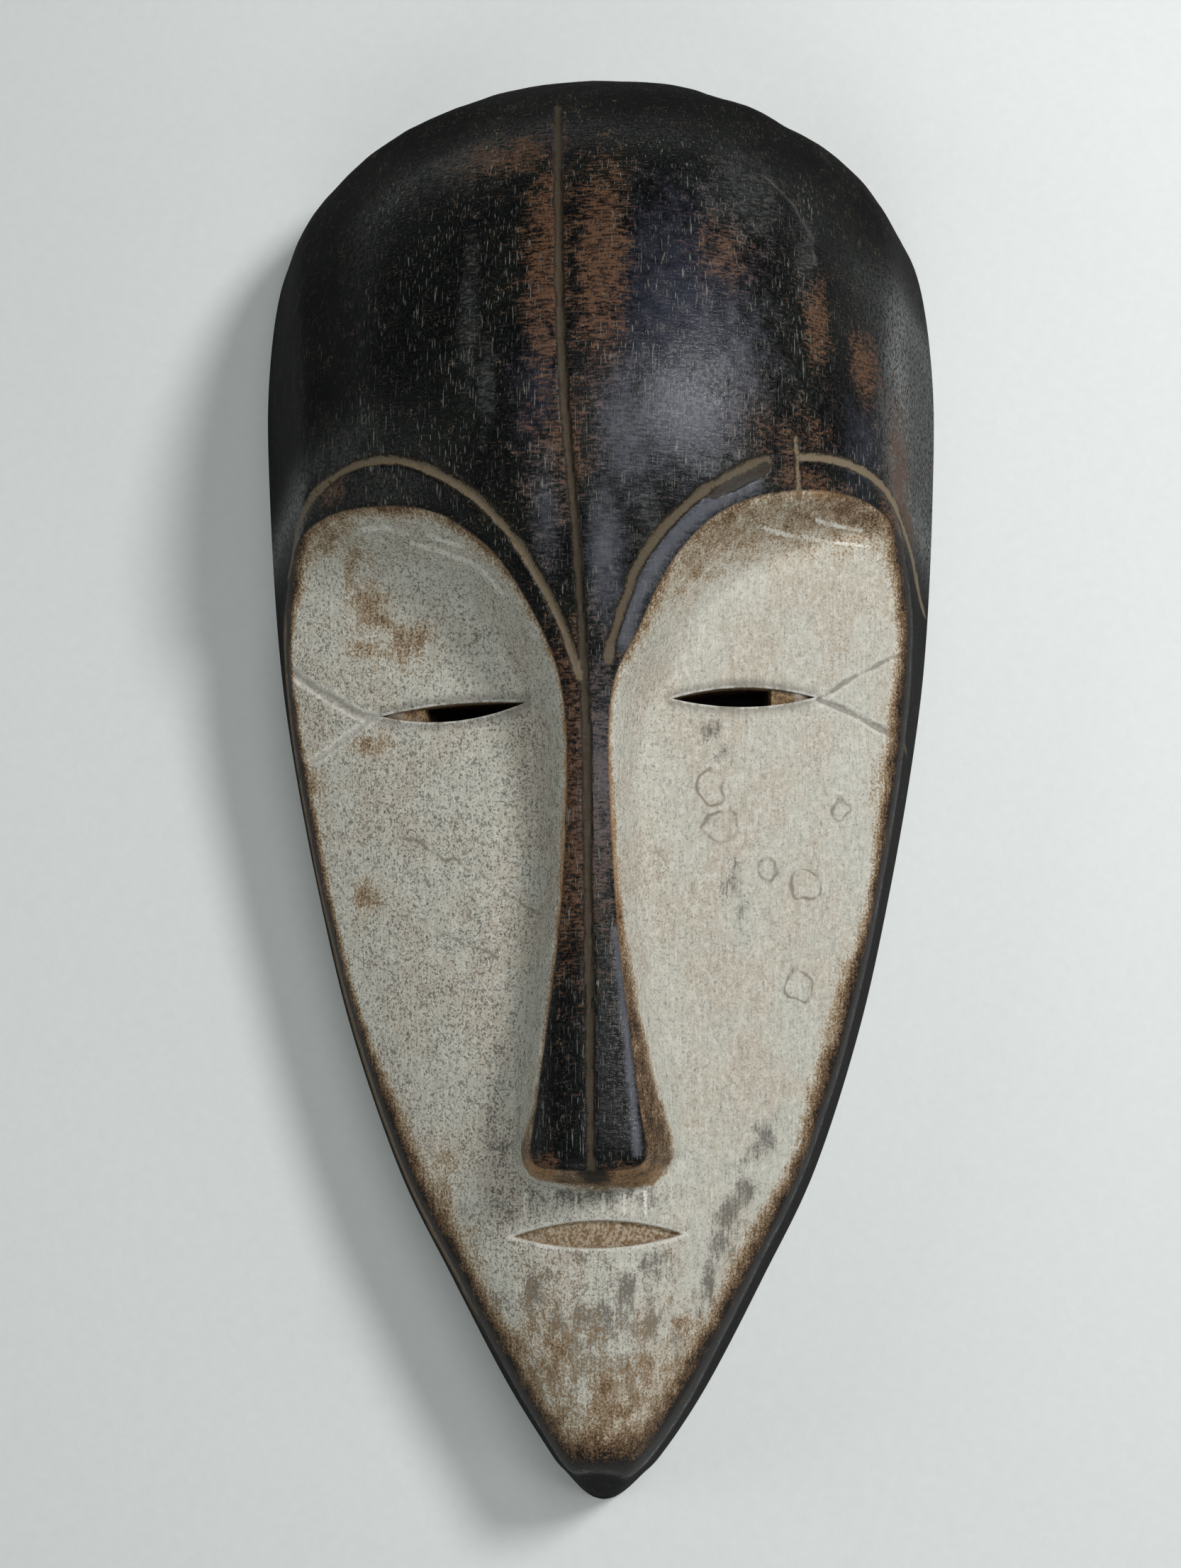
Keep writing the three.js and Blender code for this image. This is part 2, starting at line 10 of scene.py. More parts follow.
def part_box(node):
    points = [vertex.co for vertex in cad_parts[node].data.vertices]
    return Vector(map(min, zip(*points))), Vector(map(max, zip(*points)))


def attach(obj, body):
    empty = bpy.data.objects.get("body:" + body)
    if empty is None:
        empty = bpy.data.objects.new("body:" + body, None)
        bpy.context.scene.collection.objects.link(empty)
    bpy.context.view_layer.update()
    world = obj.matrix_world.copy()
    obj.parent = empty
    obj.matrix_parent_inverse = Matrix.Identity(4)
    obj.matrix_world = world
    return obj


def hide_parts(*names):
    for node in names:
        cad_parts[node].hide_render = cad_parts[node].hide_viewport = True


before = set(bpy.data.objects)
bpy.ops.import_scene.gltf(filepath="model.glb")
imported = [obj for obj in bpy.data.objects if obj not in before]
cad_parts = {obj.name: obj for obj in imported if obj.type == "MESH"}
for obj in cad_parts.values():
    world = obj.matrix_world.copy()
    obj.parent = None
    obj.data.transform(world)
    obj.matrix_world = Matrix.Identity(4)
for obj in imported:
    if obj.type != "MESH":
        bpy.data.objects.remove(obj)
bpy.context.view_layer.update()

# The carving is in millimetres in the frame's axes: x to the right of the face as it is looked at, y towards
# the crown, z up from the back plane. Blender's objects are in metres.
MM = 0.001
LOWEST, HIGHEST = (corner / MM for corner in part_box("mask"))
CHIN = LOWEST.y
CROWN = HIGHEST.y
WIDTH = 168.0
DEPTH = 84.5

# The back rim's right half as (x, y) from the chin to the crown, and how far its middle strays, as (y, x).
RIM_HALF = [
    (0, CHIN), (2.4, -171.5), (5.2, -169.7), (8.6, -166.4), (13, -161.7), (23.5, -145.9), (36.8, -121.5),
    (49.3, -97), (61.1, -63.5), (69.6, -29.5), (76.4, 4.5), (80.2, 31.5), (83, 67.5), (WIDTH / 2, 97.5),
    (81.5, 124), (75.5, 138), (65.4, 148.8), (54, 156.5), (42, 162.5), (22, 169.5), (0, CROWN),
]
RIM_LEAN = [(CHIN, 0.7), (-155, 1.5), (-100, 1.4), (-63, 0.95), (0, 0.4), (100, -0.3), (CROWN, -0.6)]
HOLLOW_HALF = [
    (0, -142), (13, -130), (30, -95), (44, -50), (53.5, -5), (60, 40), (63, 80), (61.5, 110), (51, 134),
    (30, 148), (0, 152),
]

# Heights along the middle line as (y, z), the radius of the top's cross-section and where its middle runs,
# and how far out the top and the face go, as shares of that radius and of half the width.
TOP_HEIGHT = [
    (CHIN, 58), (-106, 63), (-95, 63.5), (-80, 62.5), (-60, 61.5), (-40, 61.5), (-20, 63), (-5, 65.5),
    (10, 69.5), (25, 74.5), (40, 79.5), (55, 83), (70, DEPTH), (85, 83.5), (105, 79.5), (125, 71.6),
    (140, 61.8), (150, 54.2), (162, 38.4), (CROWN, 20),
]
FACE_HEIGHT = [
    (CHIN, 32), (-150, 39), (-130, 42.5), (-110, 44), (-90, 44.5), (-60, 45.5), (-30, 47), (0, 49.5),
    (20, 52), (40, 55.5), (60, 58.5), (80, 61), (CROWN, 62),
]
HOLLOW_HEIGHT = [
    (-142, 0), (-132, 10), (-110, 20), (-80, 27), (-40, 33), (0, 38), (20, 43), (45, 56), (70, 67),
    (95, 69), (115, 64), (132, 52), (145, 32), (152, 0),
]
TOP_RADIUS = [(CHIN, 36), (-20, 30), (5, 36), (28, 62), (42, WIDTH / 2), (CROWN, WIDTH / 2)]
TOP_AXIS = [(CHIN, -0.4), (-20, -0.9), (60, -1), (110, -0.5), (145, 2.5), (CROWN, 4)]
TOP_REACH = 0.999
FACE_REACH = 1.2
FACE_FALL = 19
HOLLOW_FULLNESS = 0.4
WALL_SLOPE = [(CHIN, 6.3), (-20, 6.3), (15, 5.5), (50, 3.5), (100, 3.2), (CROWN, 3.4)]
CHIN_FACET_SLOPE = 3.0
CHIN_ROUNDING = 5
CHEEK_ROUNDING = 8
FOREHEAD_ROUNDING = 6
BROW_LEVEL = (40, 60)

# The ridge where the forehead and nose drop to the face, from left to right round the nose's end.
RIDGE = [
    (-90, 30), (-77, 38.5), (-69, 43.6), (-63.3, 46.2), (-56.7, 47.2), (-48.8, 46.6), (-40.4, 45.2),
    (-32.4, 42.5), (-26.1, 38.4), (-20, 33), (-14.8, 25.5), (-10.3, 17.2), (-7.4, 9.8), (-5.8, 1),
    (-5.4, -7.9), (-5.6, -21.5), (-6.4, -36.6), (-7.8, -51.8), (-9.7, -66.8), (-11.7, -81.7), (-13.1, -92),
    (-12.5, -95.1), (-9.5, -96.3), (-2, -96.7), (4, -96.6), (9, -96.1), (11.2, -94.2), (11.1, -89.8),
    (9.8, -81.7), (7.9, -66.9), (6, -51.9), (4.8, -36.7), (4, -21.6), (3.6, -6.5), (4.3, 3.8), (6.3, 10.6),
    (10.2, 17.7), (14, 25.7), (17.6, 31.8), (23.1, 38.2), (29.2, 43), (36.9, 46.6), (44.8, 48.8),
    (53.7, 50.3), (62.3, 49.8), (69.5, 46.2), (77, 39.5), (90, 28),
]
RIDGE_WEAR = 1.2
RIDGE_WAVE = [(0.22, 4.5, 4.5, 8)]
SCOOP_SHARE = 0.55
SCOOP_MIN = 4.5
SCOOP_MAX = 10.5
NOSE_END_SCOOP = 4.2
NOSE_END = (-95, -66)
FOOT_SPREAD = 3
FOOT_FALL = 1.1
FOOT_ACROSS = (2, 9)
FOOT_TOP = (-86, -58)
FOOT_END = (-98, -91)
FOREHEAD_FOOT = (50, 75)

# Carved lines: full width, depth, how much of the dirt in them shows, and path. The last two are the notch
# and the torn edge of the right brow.
GROOVES = {
    "centre": (2.2, 0.9, 0.22, [
        (-7.9, 143.6), (-7.4, 130.4), (-6.7, 108.9), (-6.3, 90.7), (-5.6, 74), (-4.7, 58.6), (-2.9, 38.2),
        (-1.9, 19.7), (-1.2, 0.9), (-1, -14), (-0.8, -44.3), (-0.4, -74.4), (-0.1, -96.8),
    ]),
    "left_brow": (2.4, 0.9, 0.8, [
        (-71.6, 39.5), (-69.4, 43.2), (-67.9, 47.2), (-65.6, 50.1), (-62.2, 52.9), (-57.5, 55),
        (-52.1, 56.1), (-45.2, 55.8), (-39.4, 54.3), (-32.2, 50.7), (-26, 46.4), (-21.4, 42), (-16.9, 37.1),
        (-13.1, 31.8), (-9.4, 25.2), (-6.5, 19.4), (-4.3, 13.6), (-2.4, 7.8),
    ]),
    "right_brow_inner": (2.6, 0.9, 0.55, [
        (3.7, 11.1), (4.9, 16.1), (7.2, 22.6), (10.7, 31.2), (17.5, 40), (25.4, 46.8), (33.9, 52.1),
        (38, 54),
    ]),
    "right_brow_outer": (2.3, 0.8, 1, [
        (44.8, 55.6), (49.7, 56.7), (54.6, 57), (58.8, 56.6), (63.2, 55.6), (66.8, 53.5), (70, 50.4),
        (72.6, 47.7), (75, 44), (76.7, 38.7), (79.4, 36.4),
    ]),
    "left_crease_upper": (2.2, 1.1, 0.25, [
        (-71.9, 18.3), (-67.8, 14.6), (-63.5, 11.4), (-59.1, 8.7), (-54.8, 5.9), (-50.1, 4.3),
    ]),
    "left_crease_lower": (1.6, 0.6, 0.25, [
        (-51.5, 3.6), (-56.6, 0.5), (-61.8, -2.6), (-65.3, -4.4), (-70.7, -6.4),
    ]),
    "right_crease_upper": (1.5, 0.6, 0.55, [
        (50.5, 8.2), (53.8, 10), (58, 13), (62.1, 15.2), (66.3, 17.6), (71, 19.9),
    ]),
    "right_crease_lower": (1.9, 0.8, 0.5, [(50.5, 7.9), (57.9, 5.4), (62.9, 3), (67.9, 1.3), (72.5, -0.4)]),
    "right_brow_notch": (1.8, 0.7, 1, [(44.5, 59.6), (44.8, 54.1), (45.3, 48)]),
    "right_brow_tear": (3.4, 0.7, 0.1, [(26.5, 46.2), (30.5, 48.3), (34.5, 50.6), (37.5, 52.8)]),
}
GROOVE_FADE = 4
GROOVE_END = 0.6
GROOVE_REACH = 4
GROOVE_SIDE = 0.5

# Lens-shaped cuts: middle, half length, heights above and below the line between the corners, and tilt. The
# blind range of an eye slit is where its floor rises, as a share of the way to its inner corner.
LEFT_EYE = {"middle": (-31.9, 5.4), "half": 16.7, "above": 1, "below": 2.9, "tilt": 0.045, "inner": 1}
RIGHT_EYE = {"middle": (33.6, 7.6), "half": 16.2, "above": 2.2, "below": 2.2, "tilt": 0.046, "inner": -1}
MOUTH = {"middle": (0.7, -110.7), "half": 19.3, "above": 3.5, "below": 2.8, "tilt": 0.016}
MOUTH_DEPTH = 1.6
MOUTH_SIDE = 0.7
MOUTH_ROUGHNESS = [(0.22, 1.5, 1.2, 7)]
EYE_DEPTH = 17
EYE_ROUGHNESS = [(0.5, 2.2, 1.3, 12)]
PLUG_ABOVE = 5
EYE_BLIND_DEPTH = 1.5
EYE_BLIND = (-0.36, -0.22)
LIP_WEAR = 0.35
LIP_WEAR_WIDTH = 0.6

# What a knife leaves, from broad to fine, and how the edges of the carved lines and the side walls waver, as
# shares of their width and inset. All unevenness is given as (height, size across, size along, seed).
RELIEF = [(0.22, 21, 33, 1), (0.1, 9, 16, 2), (0.035, 2.6, 6, 3)]
GROOVE_WAVER = [(0.16, 3.1, 3.1, 5), (0.08, 1.3, 1.3, 6)]
WALL_WAVER = [(0.035, 9, 15, 9), (0.012, 3, 4, 10)]

# Dents from use: how many, how far from the middle, the largest radius and depth, the smallest size as a
# share, and how long they may be.
DENTS = 150
DENT_SPREAD = 80
DENT_RADIUS = 1.9
DENT_DEPTH = 0.32
DENT_SMALLEST = 0.35
DENT_LONGEST = 2.2

# Gouge marks in the hollow: spacing across and along, how far each strays as a share of that, its depth, and
# how high the hollow is where they reach it.
GOUGE_ACROSS = 10
GOUGE_ALONG = 19
GOUGE_STRAY = 0.35
GOUGE_DEPTH = 0.9
GOUGE_FULL_HEIGHT = 12

# Parts that a curve has between two given points, the spacing of the points that are kept along it, and after
# how many cells the random values repeat.
CURVE_PARTS = 24
RIM_STEP = 1.3
HOLLOW_STEP = 2.2
RIDGE_STEP = 1.5
GROOVE_STEP = 2
TILE = 64


def mix(a, b, t):
    return a + (b - a) * t


def ease(value, low, high):
    t = np.clip((value - low) / (high - low), 0, 1)
    return t * t * (3 - 2 * t)


def curve(a, b, leaving, arriving, t):
    """The way from a to b, for t from 0 to 1, with these speeds at its ends."""
    cubic = 2 * (a - b) + leaving + arriving
    return a + t * (leaving + t * (b - a - leaving - cubic + t * cubic))


def profile(table, y):
    """The value at y of a smooth curve through (y, value) pairs that are in order of y."""
    points = np.array(table, float)
    last = len(points) - 1
    index = np.arange(last + 1)
    step = points[np.minimum(index + 1, last)] - points[np.maximum(index - 1, 0)]
    slope = step[:, 1] / step[:, 0]
    at = np.clip(y, points[0, 0], points[last, 0])
    i = np.clip(np.searchsorted(points[:, 0], at) - 1, 0, last - 1)
    (start, low), (end, high) = (np.moveaxis(points[k], -1, 0) for k in (i, i + 1))
    long = end - start
    return curve(low, high, long * slope[i], long * slope[i + 1], (at - start) / long)


def smooth_min(a, b, rounding):
    """The smaller of two heights, with a rounded change from one to the other."""
    h = np.clip(0.5 + 0.5 * (b - a) / rounding, 0, 1)
    return mix(b, a, h) - rounding * h * (1 - h)


def along(points, step):
    """Points about one step apart along a smooth curve through the given points."""
    p = np.array(points, float)[:, None]
    before, after = np.vstack([p[:1], p[:-2]]), np.vstack([p[2:], p[-1:]])
    t = np.linspace(0, 1, CURVE_PARTS, endpoint=False)[None, :, None]
    fine = curve(p[:-1], p[1:], (p[1:] - before) / 2, (after - p[:-1]) / 2, t)
    fine = np.vstack([fine.reshape(-1, 2), p[-1]])
    run = np.concatenate([[0], np.cumsum(np.hypot(*np.diff(fine, axis=0).T))])
    stops = np.linspace(0, run[-1], max(2, round(run[-1] / step)) + 1)
    return np.column_stack([np.interp(stops, run, part) for part in fine.T])


def mirrored_loop(half, step, lean=((CHIN, 0), (CROWN, 0))):
    """A closed loop from its right half, which runs from the lowest point to the highest."""
    right = along(half, step)
    loop = np.vstack([right, right[-2:0:-1] * (-1, 1)])
    loop[:, 0] += profile(lean, loop[:, 1])
    return loop


def nearest_on(line, x, y):
    """The distance of points from a line, negative on its left, and how far along the line that is."""
    best = np.full(x.shape, np.inf)
    run = np.zeros(x.shape)
    start = 0.0
    for (ax, ay), (bx, by) in zip(line[:-1], line[1:]):
        dx, dy = bx - ax, by - ay
        length = math.hypot(dx, dy)
        t = np.clip(((x - ax) * dx + (y - ay) * dy) / length**2, 0, 1)
        distance = np.hypot(x - ax - t * dx, y - ay - t * dy)
        nearer = distance < np.abs(best) - 1e-9
        left = dx * (y - ay) - dy * (x - ax) >= 0
        best[nearer] = np.where(left, -distance, distance)[nearer]
        run[nearer] = start + t[nearer] * length
        start += length
    return best, run


def distance_to(line, x, y):
    return np.abs(nearest_on(line, x, y)[0])


def inset_from(loop, x, y):
    """How far points lie inside a closed loop. It is negative outside."""
    closed = np.vstack([loop, loop[:1]])
    inside = np.zeros(x.shape, bool)
    for (ax, ay), (bx, by) in zip(closed[:-1], closed[1:]):
        if ay != by:
            crosses = ((ay > y) != (by > y)) & (x < ax + (bx - ax) * (y - ay) / (by - ay))
            inside ^= crosses
    return np.where(inside, 1.0, -1.0) * distance_to(closed, x, y)


def noise(x, y, size_x, size_y, seed):
    """Smooth random values between -1 and 1, the same each run."""
    table = np.random.RandomState(seed).uniform(-1, 1, (TILE, TILE))
    u, v = x / size_x, y / size_y
    i, j = np.floor(u).astype(int), np.floor(v).astype(int)
    s, t = ease(u - i, 0, 1), ease(v - j, 0, 1)
    near, far = (mix(table[i % TILE, k % TILE], table[(i + 1) % TILE, k % TILE], s) for k in (j, j + 1))
    return mix(near, far, t)


def uneven(layers, x, y):
    """The sum of noises that are given as (height, size across, size along, seed)."""
    return sum(height * noise(x, y, size_x, size_y, seed) for height, size_x, size_y, seed in layers)


def lens_outline(lens, count=48):
    angle = np.arange(2 * count) * math.pi / count
    dx = lens["half"] * np.cos(angle)
    bow = np.sin(angle) * np.abs(np.sin(angle))
    dy = lens["tilt"] * dx + bow * np.where(bow > 0, lens["above"], lens["below"])
    return np.stack([lens["middle"][0] + dx, lens["middle"][1] + dy], 1)


rim_loop = mirrored_loop(RIM_HALF, RIM_STEP, RIM_LEAN)
hollow_loop = mirrored_loop(HOLLOW_HALF, HOLLOW_STEP)
ridge_line = along(RIDGE, RIDGE_STEP)
groove_lines = {name: along(path, GROOVE_STEP) for name, (*_, path) in GROOVES.items()}
eye_outlines = [lens_outline(LEFT_EYE), lens_outline(RIGHT_EYE)]
mouth_outline = lens_outline(MOUTH)


def outside_of(loops, x, y):
    """How far points lie outside the nearest of some closed loops. It is negative inside."""
    return np.min([-inset_from(loop, x, y) for loop in loops], axis=0)


def nearest_line(lines, x, y):
    return np.min([distance_to(np.array(line, float), x, y) for line in lines], axis=0)


def half_width(half, y):
    return np.maximum(profile([(b, a) for a, b in half], y), 1)


def top_surface(x, y):
    radius = profile(TOP_RADIUS, y)
    across = np.minimum(np.abs(x - profile(TOP_AXIS, y)) / radius, TOP_REACH)
    return profile(TOP_HEIGHT, y) - radius * (1 - np.sqrt(1 - across * across))


def face_surface(x, y):
    across = np.minimum(np.abs(x) / half_width(RIM_HALF, y), FACE_REACH)
    return profile(FACE_HEIGHT, y) - FACE_FALL * across * across


def dents(x, y):
    """Small shallow knocks over the whole front, at places that are the same each run."""
    random = np.random.RandomState(11)
    depth = np.zeros(x.shape)
    for _ in range(DENTS):
        cx, cy = random.uniform(-DENT_SPREAD, DENT_SPREAD), random.uniform(CHIN, CROWN)
        size = random.uniform(DENT_SMALLEST, 1) ** 2
        long = random.uniform(1, DENT_LONGEST)
        near = ((x - cx) / (DENT_RADIUS * size)) ** 2 + ((y - cy) / (DENT_RADIUS * size * long)) ** 2
        depth = np.maximum(depth, DENT_DEPTH * size * np.clip(1 - near, 0, 1))
    return depth


def groove_gap(name, x, y):
    """How far points lie outside a groove's wavering edge. It is negative inside."""
    half = GROOVES[name][0] / 2
    return distance_to(groove_lines[name], x, y) - half * (1 + uneven(GROOVE_WAVER, x, y))


def carving(x, y):
    """How deep the carved lines and the mouth go."""
    deepest = np.zeros(x.shape)
    for name, (_, depth, *_) in GROOVES.items():
        line = groove_lines[name]
        low_x, low_y = line.min(axis=0) - GROOVE_REACH
        high_x, high_y = line.max(axis=0) + GROOVE_REACH
        near = (x > low_x) & (x < high_x) & (y > low_y) & (y < high_y)
        px, py = x[near], y[near]
        from_end = np.min([np.hypot(px - ex, py - ey) for ex, ey in (line[0], line[-1])], axis=0)
        cut = np.clip(-groove_gap(name, px, py) / GROOVE_SIDE, 0, 1)
        cut = depth * cut * np.minimum((from_end + GROOVE_END) / GROOVE_FADE, 1)
        deepest[near] = np.maximum(deepest[near], cut)
    mouth = MOUTH_DEPTH + uneven(MOUTH_ROUGHNESS, x, y)
    return np.maximum(deepest, ease(inset_from(mouth_outline, x, y), 0, MOUTH_SIDE) * mouth)


def lip_wear(x, y):
    """The softened edges beside the eye slits and the mouth."""
    gap = np.maximum(outside_of([*eye_outlines, mouth_outline], x, y), 0)
    return LIP_WEAR * np.exp(-gap / LIP_WEAR_WIDTH)


def ridge_gap(x, y):
    """How far points lie beyond the ridge, on the side of the face."""
    return nearest_on(ridge_line, x, y)[0]


def surface_without_detail(x, y, gap):
    face = face_surface(x, y)
    arch = top_surface(x, y)
    top = mix(np.maximum(arch, face), arch, ease(y, *FOREHEAD_FOOT))
    scoop = np.clip(SCOOP_SHARE * np.abs(arch - face), SCOOP_MIN, SCOOP_MAX)
    foot = ease(x, *FOOT_ACROSS) * (1 - ease(y, *FOOT_TOP)) * ease(y, *FOOT_END)
    scoop = mix(NOSE_END_SCOOP, scoop, ease(y, *NOSE_END)) + FOOT_SPREAD * foot
    past = gap - RIDGE_WEAR + uneven(RIDGE_WAVE, x, y)
    worn = (past + np.hypot(past, RIDGE_WEAR)) / 2
    left = np.clip(1 - worn / scoop, 0, 1)
    return face + (top - face) * left ** mix(2, FOOT_FALL, foot)


def carved_surface(x, y):
    detail = uneven(RELIEF, x, y) - dents(x, y) - carving(x, y) - lip_wear(x, y)
    return surface_without_detail(x, y, ridge_gap(x, y)) + detail


def wall_height(x, y):
    inset = np.maximum(inset_from(rim_loop, x, y), 0) * (1 + uneven(WALL_WAVER, x, y))
    return smooth_min(inset * profile(WALL_SLOPE, y), (y - CHIN) * CHIN_FACET_SLOPE, CHIN_ROUNDING)


def front_height(x, y):
    rounding = mix(CHEEK_ROUNDING, FOREHEAD_ROUNDING, ease(y, *BROW_LEVEL))
    return np.maximum(smooth_min(carved_surface(x, y), wall_height(x, y), rounding), 0)


def gouges(x, y):
    """Overlapping scoops that a gouge leaves, with crisp ridges between them."""
    random = np.random.RandomState(21)
    shift = random.uniform(-GOUGE_STRAY, GOUGE_STRAY, (TILE, TILE, 2))
    nearest = np.full(x.shape, np.inf)
    column, row = np.floor(x / GOUGE_ACROSS).astype(int), np.floor(y / GOUGE_ALONG).astype(int)
    for di in (-1, 0, 1):
        for dj in (-1, 0, 1):
            i, j = column + di, row + dj
            jitter = shift[i % TILE, j % TILE]
            u = x / GOUGE_ACROSS - (i + 0.5 + jitter[..., 0])
            v = y / GOUGE_ALONG - (j + 0.5 * (i % 2) + 0.25 + jitter[..., 1])
            nearest = np.minimum(nearest, u * u + v * v)
    return GOUGE_DEPTH * (1 - np.minimum(nearest, 1))


def hollow_height(x, y):
    across = np.clip(np.abs(x) / half_width(HOLLOW_HALF, y), 0, 1)
    height = profile(HOLLOW_HEIGHT, y) * (1 - across * across) ** HOLLOW_FULLNESS
    return height + (gouges(x, y) - GOUGE_DEPTH / 2) * ease(height, 0, GOUGE_FULL_HEIGHT)


# Mesh spacing: the shares of the way in at which rows follow the rim, the cells of the open surface, and how
# far their points stray and stay off the rim, as shares of a cell.
SIDE_ROWS = [
    0, 0.07, 0.15, 0.23, 0.31, 0.39, 0.46, 0.52, 0.57, 0.61, 0.65, 0.69, 0.73, 0.77, 0.82, 0.88, 0.94, 1,
]
HOLLOW_ROWS = [0, 0.01, 0.025, 0.045, 0.07, 0.1, 0.135, 0.175, 0.22]
SPINE_ENDS = (-128, 108)
CELL = 1.9
HOLLOW_CELL = 2.2
FLAT_CELL = 3.2
CELL_JITTER = 0.16
CELL_MARGIN = 0.35

# The side walls' rows end beyond the edge where the walls meet the front: steps that are tried on the way in,
# how many points of the edge are averaged, and how far beyond it the rows end, as a factor and more.
EDGE_STEPS = np.arange(1, 26, 0.5)
EDGE_WINDOW = 9
BEYOND_EDGE = (1.45, 1)

# How near the ridge, the carved lines, the openings and the thin marks the cells are divided by 4 or by 2.
FINE_BY_RIDGE, MEDIUM_BY_RIDGE = (-1.6, 2.6), (-4, 12)
FINE_BY_LINE, MEDIUM_BY_LINE = 2.1, 4.5
FINE_BY_HOLE, MEDIUM_BY_HOLE = 2, 6
FINE_BY_MARK = 1.3


def spine_points(loop):
    """For each point of a loop, the point of the middle line that its rows run towards."""
    y = np.interp(loop[:, 1], [CHIN, CROWN], SPINE_ENDS)
    return np.stack([np.zeros(len(y)), y], 1)


def shoulder_loop():
    """A loop inside the rim, just beyond the edge where the side wall meets the front."""
    toward = spine_points(rim_loop) - rim_loop
    toward /= np.linalg.norm(toward, axis=1, keepdims=True)
    x, y = (rim_loop[:, None, k] + toward[:, None, k] * EDGE_STEPS for k in (0, 1))
    base = surface_without_detail(x, y, ridge_gap(x, y))
    edge = EDGE_STEPS[np.argmax(wall_height(x, y) > base, axis=1)]
    smooth = np.convolve(np.pad(edge, EDGE_WINDOW, "wrap"), np.ones(EDGE_WINDOW) / EDGE_WINDOW, "same")
    smooth = smooth[EDGE_WINDOW:-EDGE_WINDOW]
    share, more = BEYOND_EDGE
    return rim_loop + toward * (share * smooth[:, None] + more)


def lattice(loop, cell, levels):
    """Plan points inside a loop, in cells that are divided 1, 2 or 4 times each way, jittered a little."""
    random = np.random.RandomState(31)
    columns = np.arange(-WIDTH / 2 - cell, WIDTH / 2 + cell, cell)
    rows = np.arange(CHIN, CROWN, cell)
    corners = np.column_stack([part.ravel() for part in np.meshgrid(columns, rows)])
    level = levels(*(corners + cell / 2).T)
    points = []
    for parts in (1, 2, 4):
        here = corners[level == parts]
        for i in range(parts):
            for j in range(parts):
                jitter = random.uniform(-CELL_JITTER, CELL_JITTER, here.shape)
                points.append(here + (np.array([i, j]) + 0.5 + jitter) * cell / parts)
    points = np.vstack(points)
    return points[inset_from(loop, *points.T) > CELL_MARGIN * cell]


def between(value, low_high):
    return (value > low_high[0]) & (value < low_high[1])


def front_levels(x, y):
    """How finely each cell of the front is divided: 4 beside whatever is sharp or thin, and 2 around that."""
    ridge = ridge_gap(x, y)
    line = nearest_line(groove_lines.values(), x, y)
    hole = outside_of([*eye_outlines, mouth_outline], x, y)
    mark = np.minimum(np.abs(ring_gap(x, y)), nearest_line([*ARCS, *SCRATCHES, NOSE_HIGHLIGHT], x, y))
    fine = between(ridge, FINE_BY_RIDGE) | (mark < FINE_BY_MARK)
    fine |= (line < FINE_BY_LINE) | (hole < FINE_BY_HOLE)
    medium = between(ridge, MEDIUM_BY_RIDGE) | (line < MEDIUM_BY_LINE) | (hole < MEDIUM_BY_HOLE)
    return np.where(fine, 4, np.where(medium, 2, 1))


def one_level(x, y):
    return np.ones(x.shape, int)


def triangulate(loops, points):
    """Plan triangles over loops and loose points, inside the first loop and outside any other."""
    corners = np.vstack([*loops, points])
    edges = []
    start = 0
    for loop in loops:
        count = len(loop)
        edges += [(start + i, start + (i + 1) % count) for i in range(count)]
        start += count
    result = delaunay_2d_cdt([Vector(p) for p in corners], edges, [], 1, 1e-6)
    plan = np.array([corners[same[0]] if same else tuple(v) for v, same in zip(result[0], result[3])])
    faces = np.array([f for f in result[2] if len(f) == 3])
    for hole in loops[1:]:
        faces = faces[inset_from(hole, *plan[faces].mean(axis=1).T) < 0]
    a, b, c = (plan[faces[:, k]] for k in range(3))
    (bx, by), (cx, cy) = (b - a).T, (c - a).T
    turned = bx * cy < by * cx
    faces[turned] = faces[turned][:, ::-1]
    return plan, faces


def grid(points, closed=False):
    """Points in rows, and two triangles for each cell between them. Closed rows join at their ends."""
    rows, columns = points.shape[:2]
    index = np.arange(rows * columns).reshape(rows, columns)
    if closed:
        index = np.column_stack([index, index[:, 0]])
    a, b, c, d = (part.ravel() for part in (index[:-1, :-1], index[:-1, 1:], index[1:, 1:], index[1:, :-1]))
    return points.reshape(-1, 3), np.vstack([np.column_stack([a, b, c]), np.column_stack([a, c, d])])


def curved_sheet(loop, target, shares, cell, levels, height):
    """Rows that follow a loop inwards, and scattered points inside them. All triangles face up."""
    rows = np.vstack([loop + share * (target - loop) for share in shares])
    z = height(*rows.T)
    z[:len(loop)] = 0
    band = np.column_stack([rows, z]).reshape(len(shares), len(loop), 3)
    inner = rows[-len(loop):]
    plan, faces = triangulate([inner], lattice(inner, cell, levels))
    return weld([grid(band, closed=True), (np.column_stack([plan, height(*plan.T)]), faces)])


def weld(sheets):
    """One list of points and triangles from several sheets that share their edges."""
    starts = np.cumsum([0, *(len(points) for points, _ in sheets)])
    faces = np.vstack([faces + start for (_, faces), start in zip(sheets, starts)])
    points = np.vstack([points for points, _ in sheets])
    _, first, same = np.unique(np.round(points * 1000).astype(np.int64), axis=0,
                               return_index=True, return_inverse=True)
    faces = same.reshape(-1)[faces]
    whole = (faces != np.roll(faces, 1, axis=1)).all(axis=1)
    used, faces = np.unique(faces[whole], return_inverse=True)
    return points[first][used], faces.reshape(-1, 3)


def link(name, data):
    piece = bpy.data.objects.new(name, data)
    bpy.context.scene.collection.objects.link(piece)
    return piece


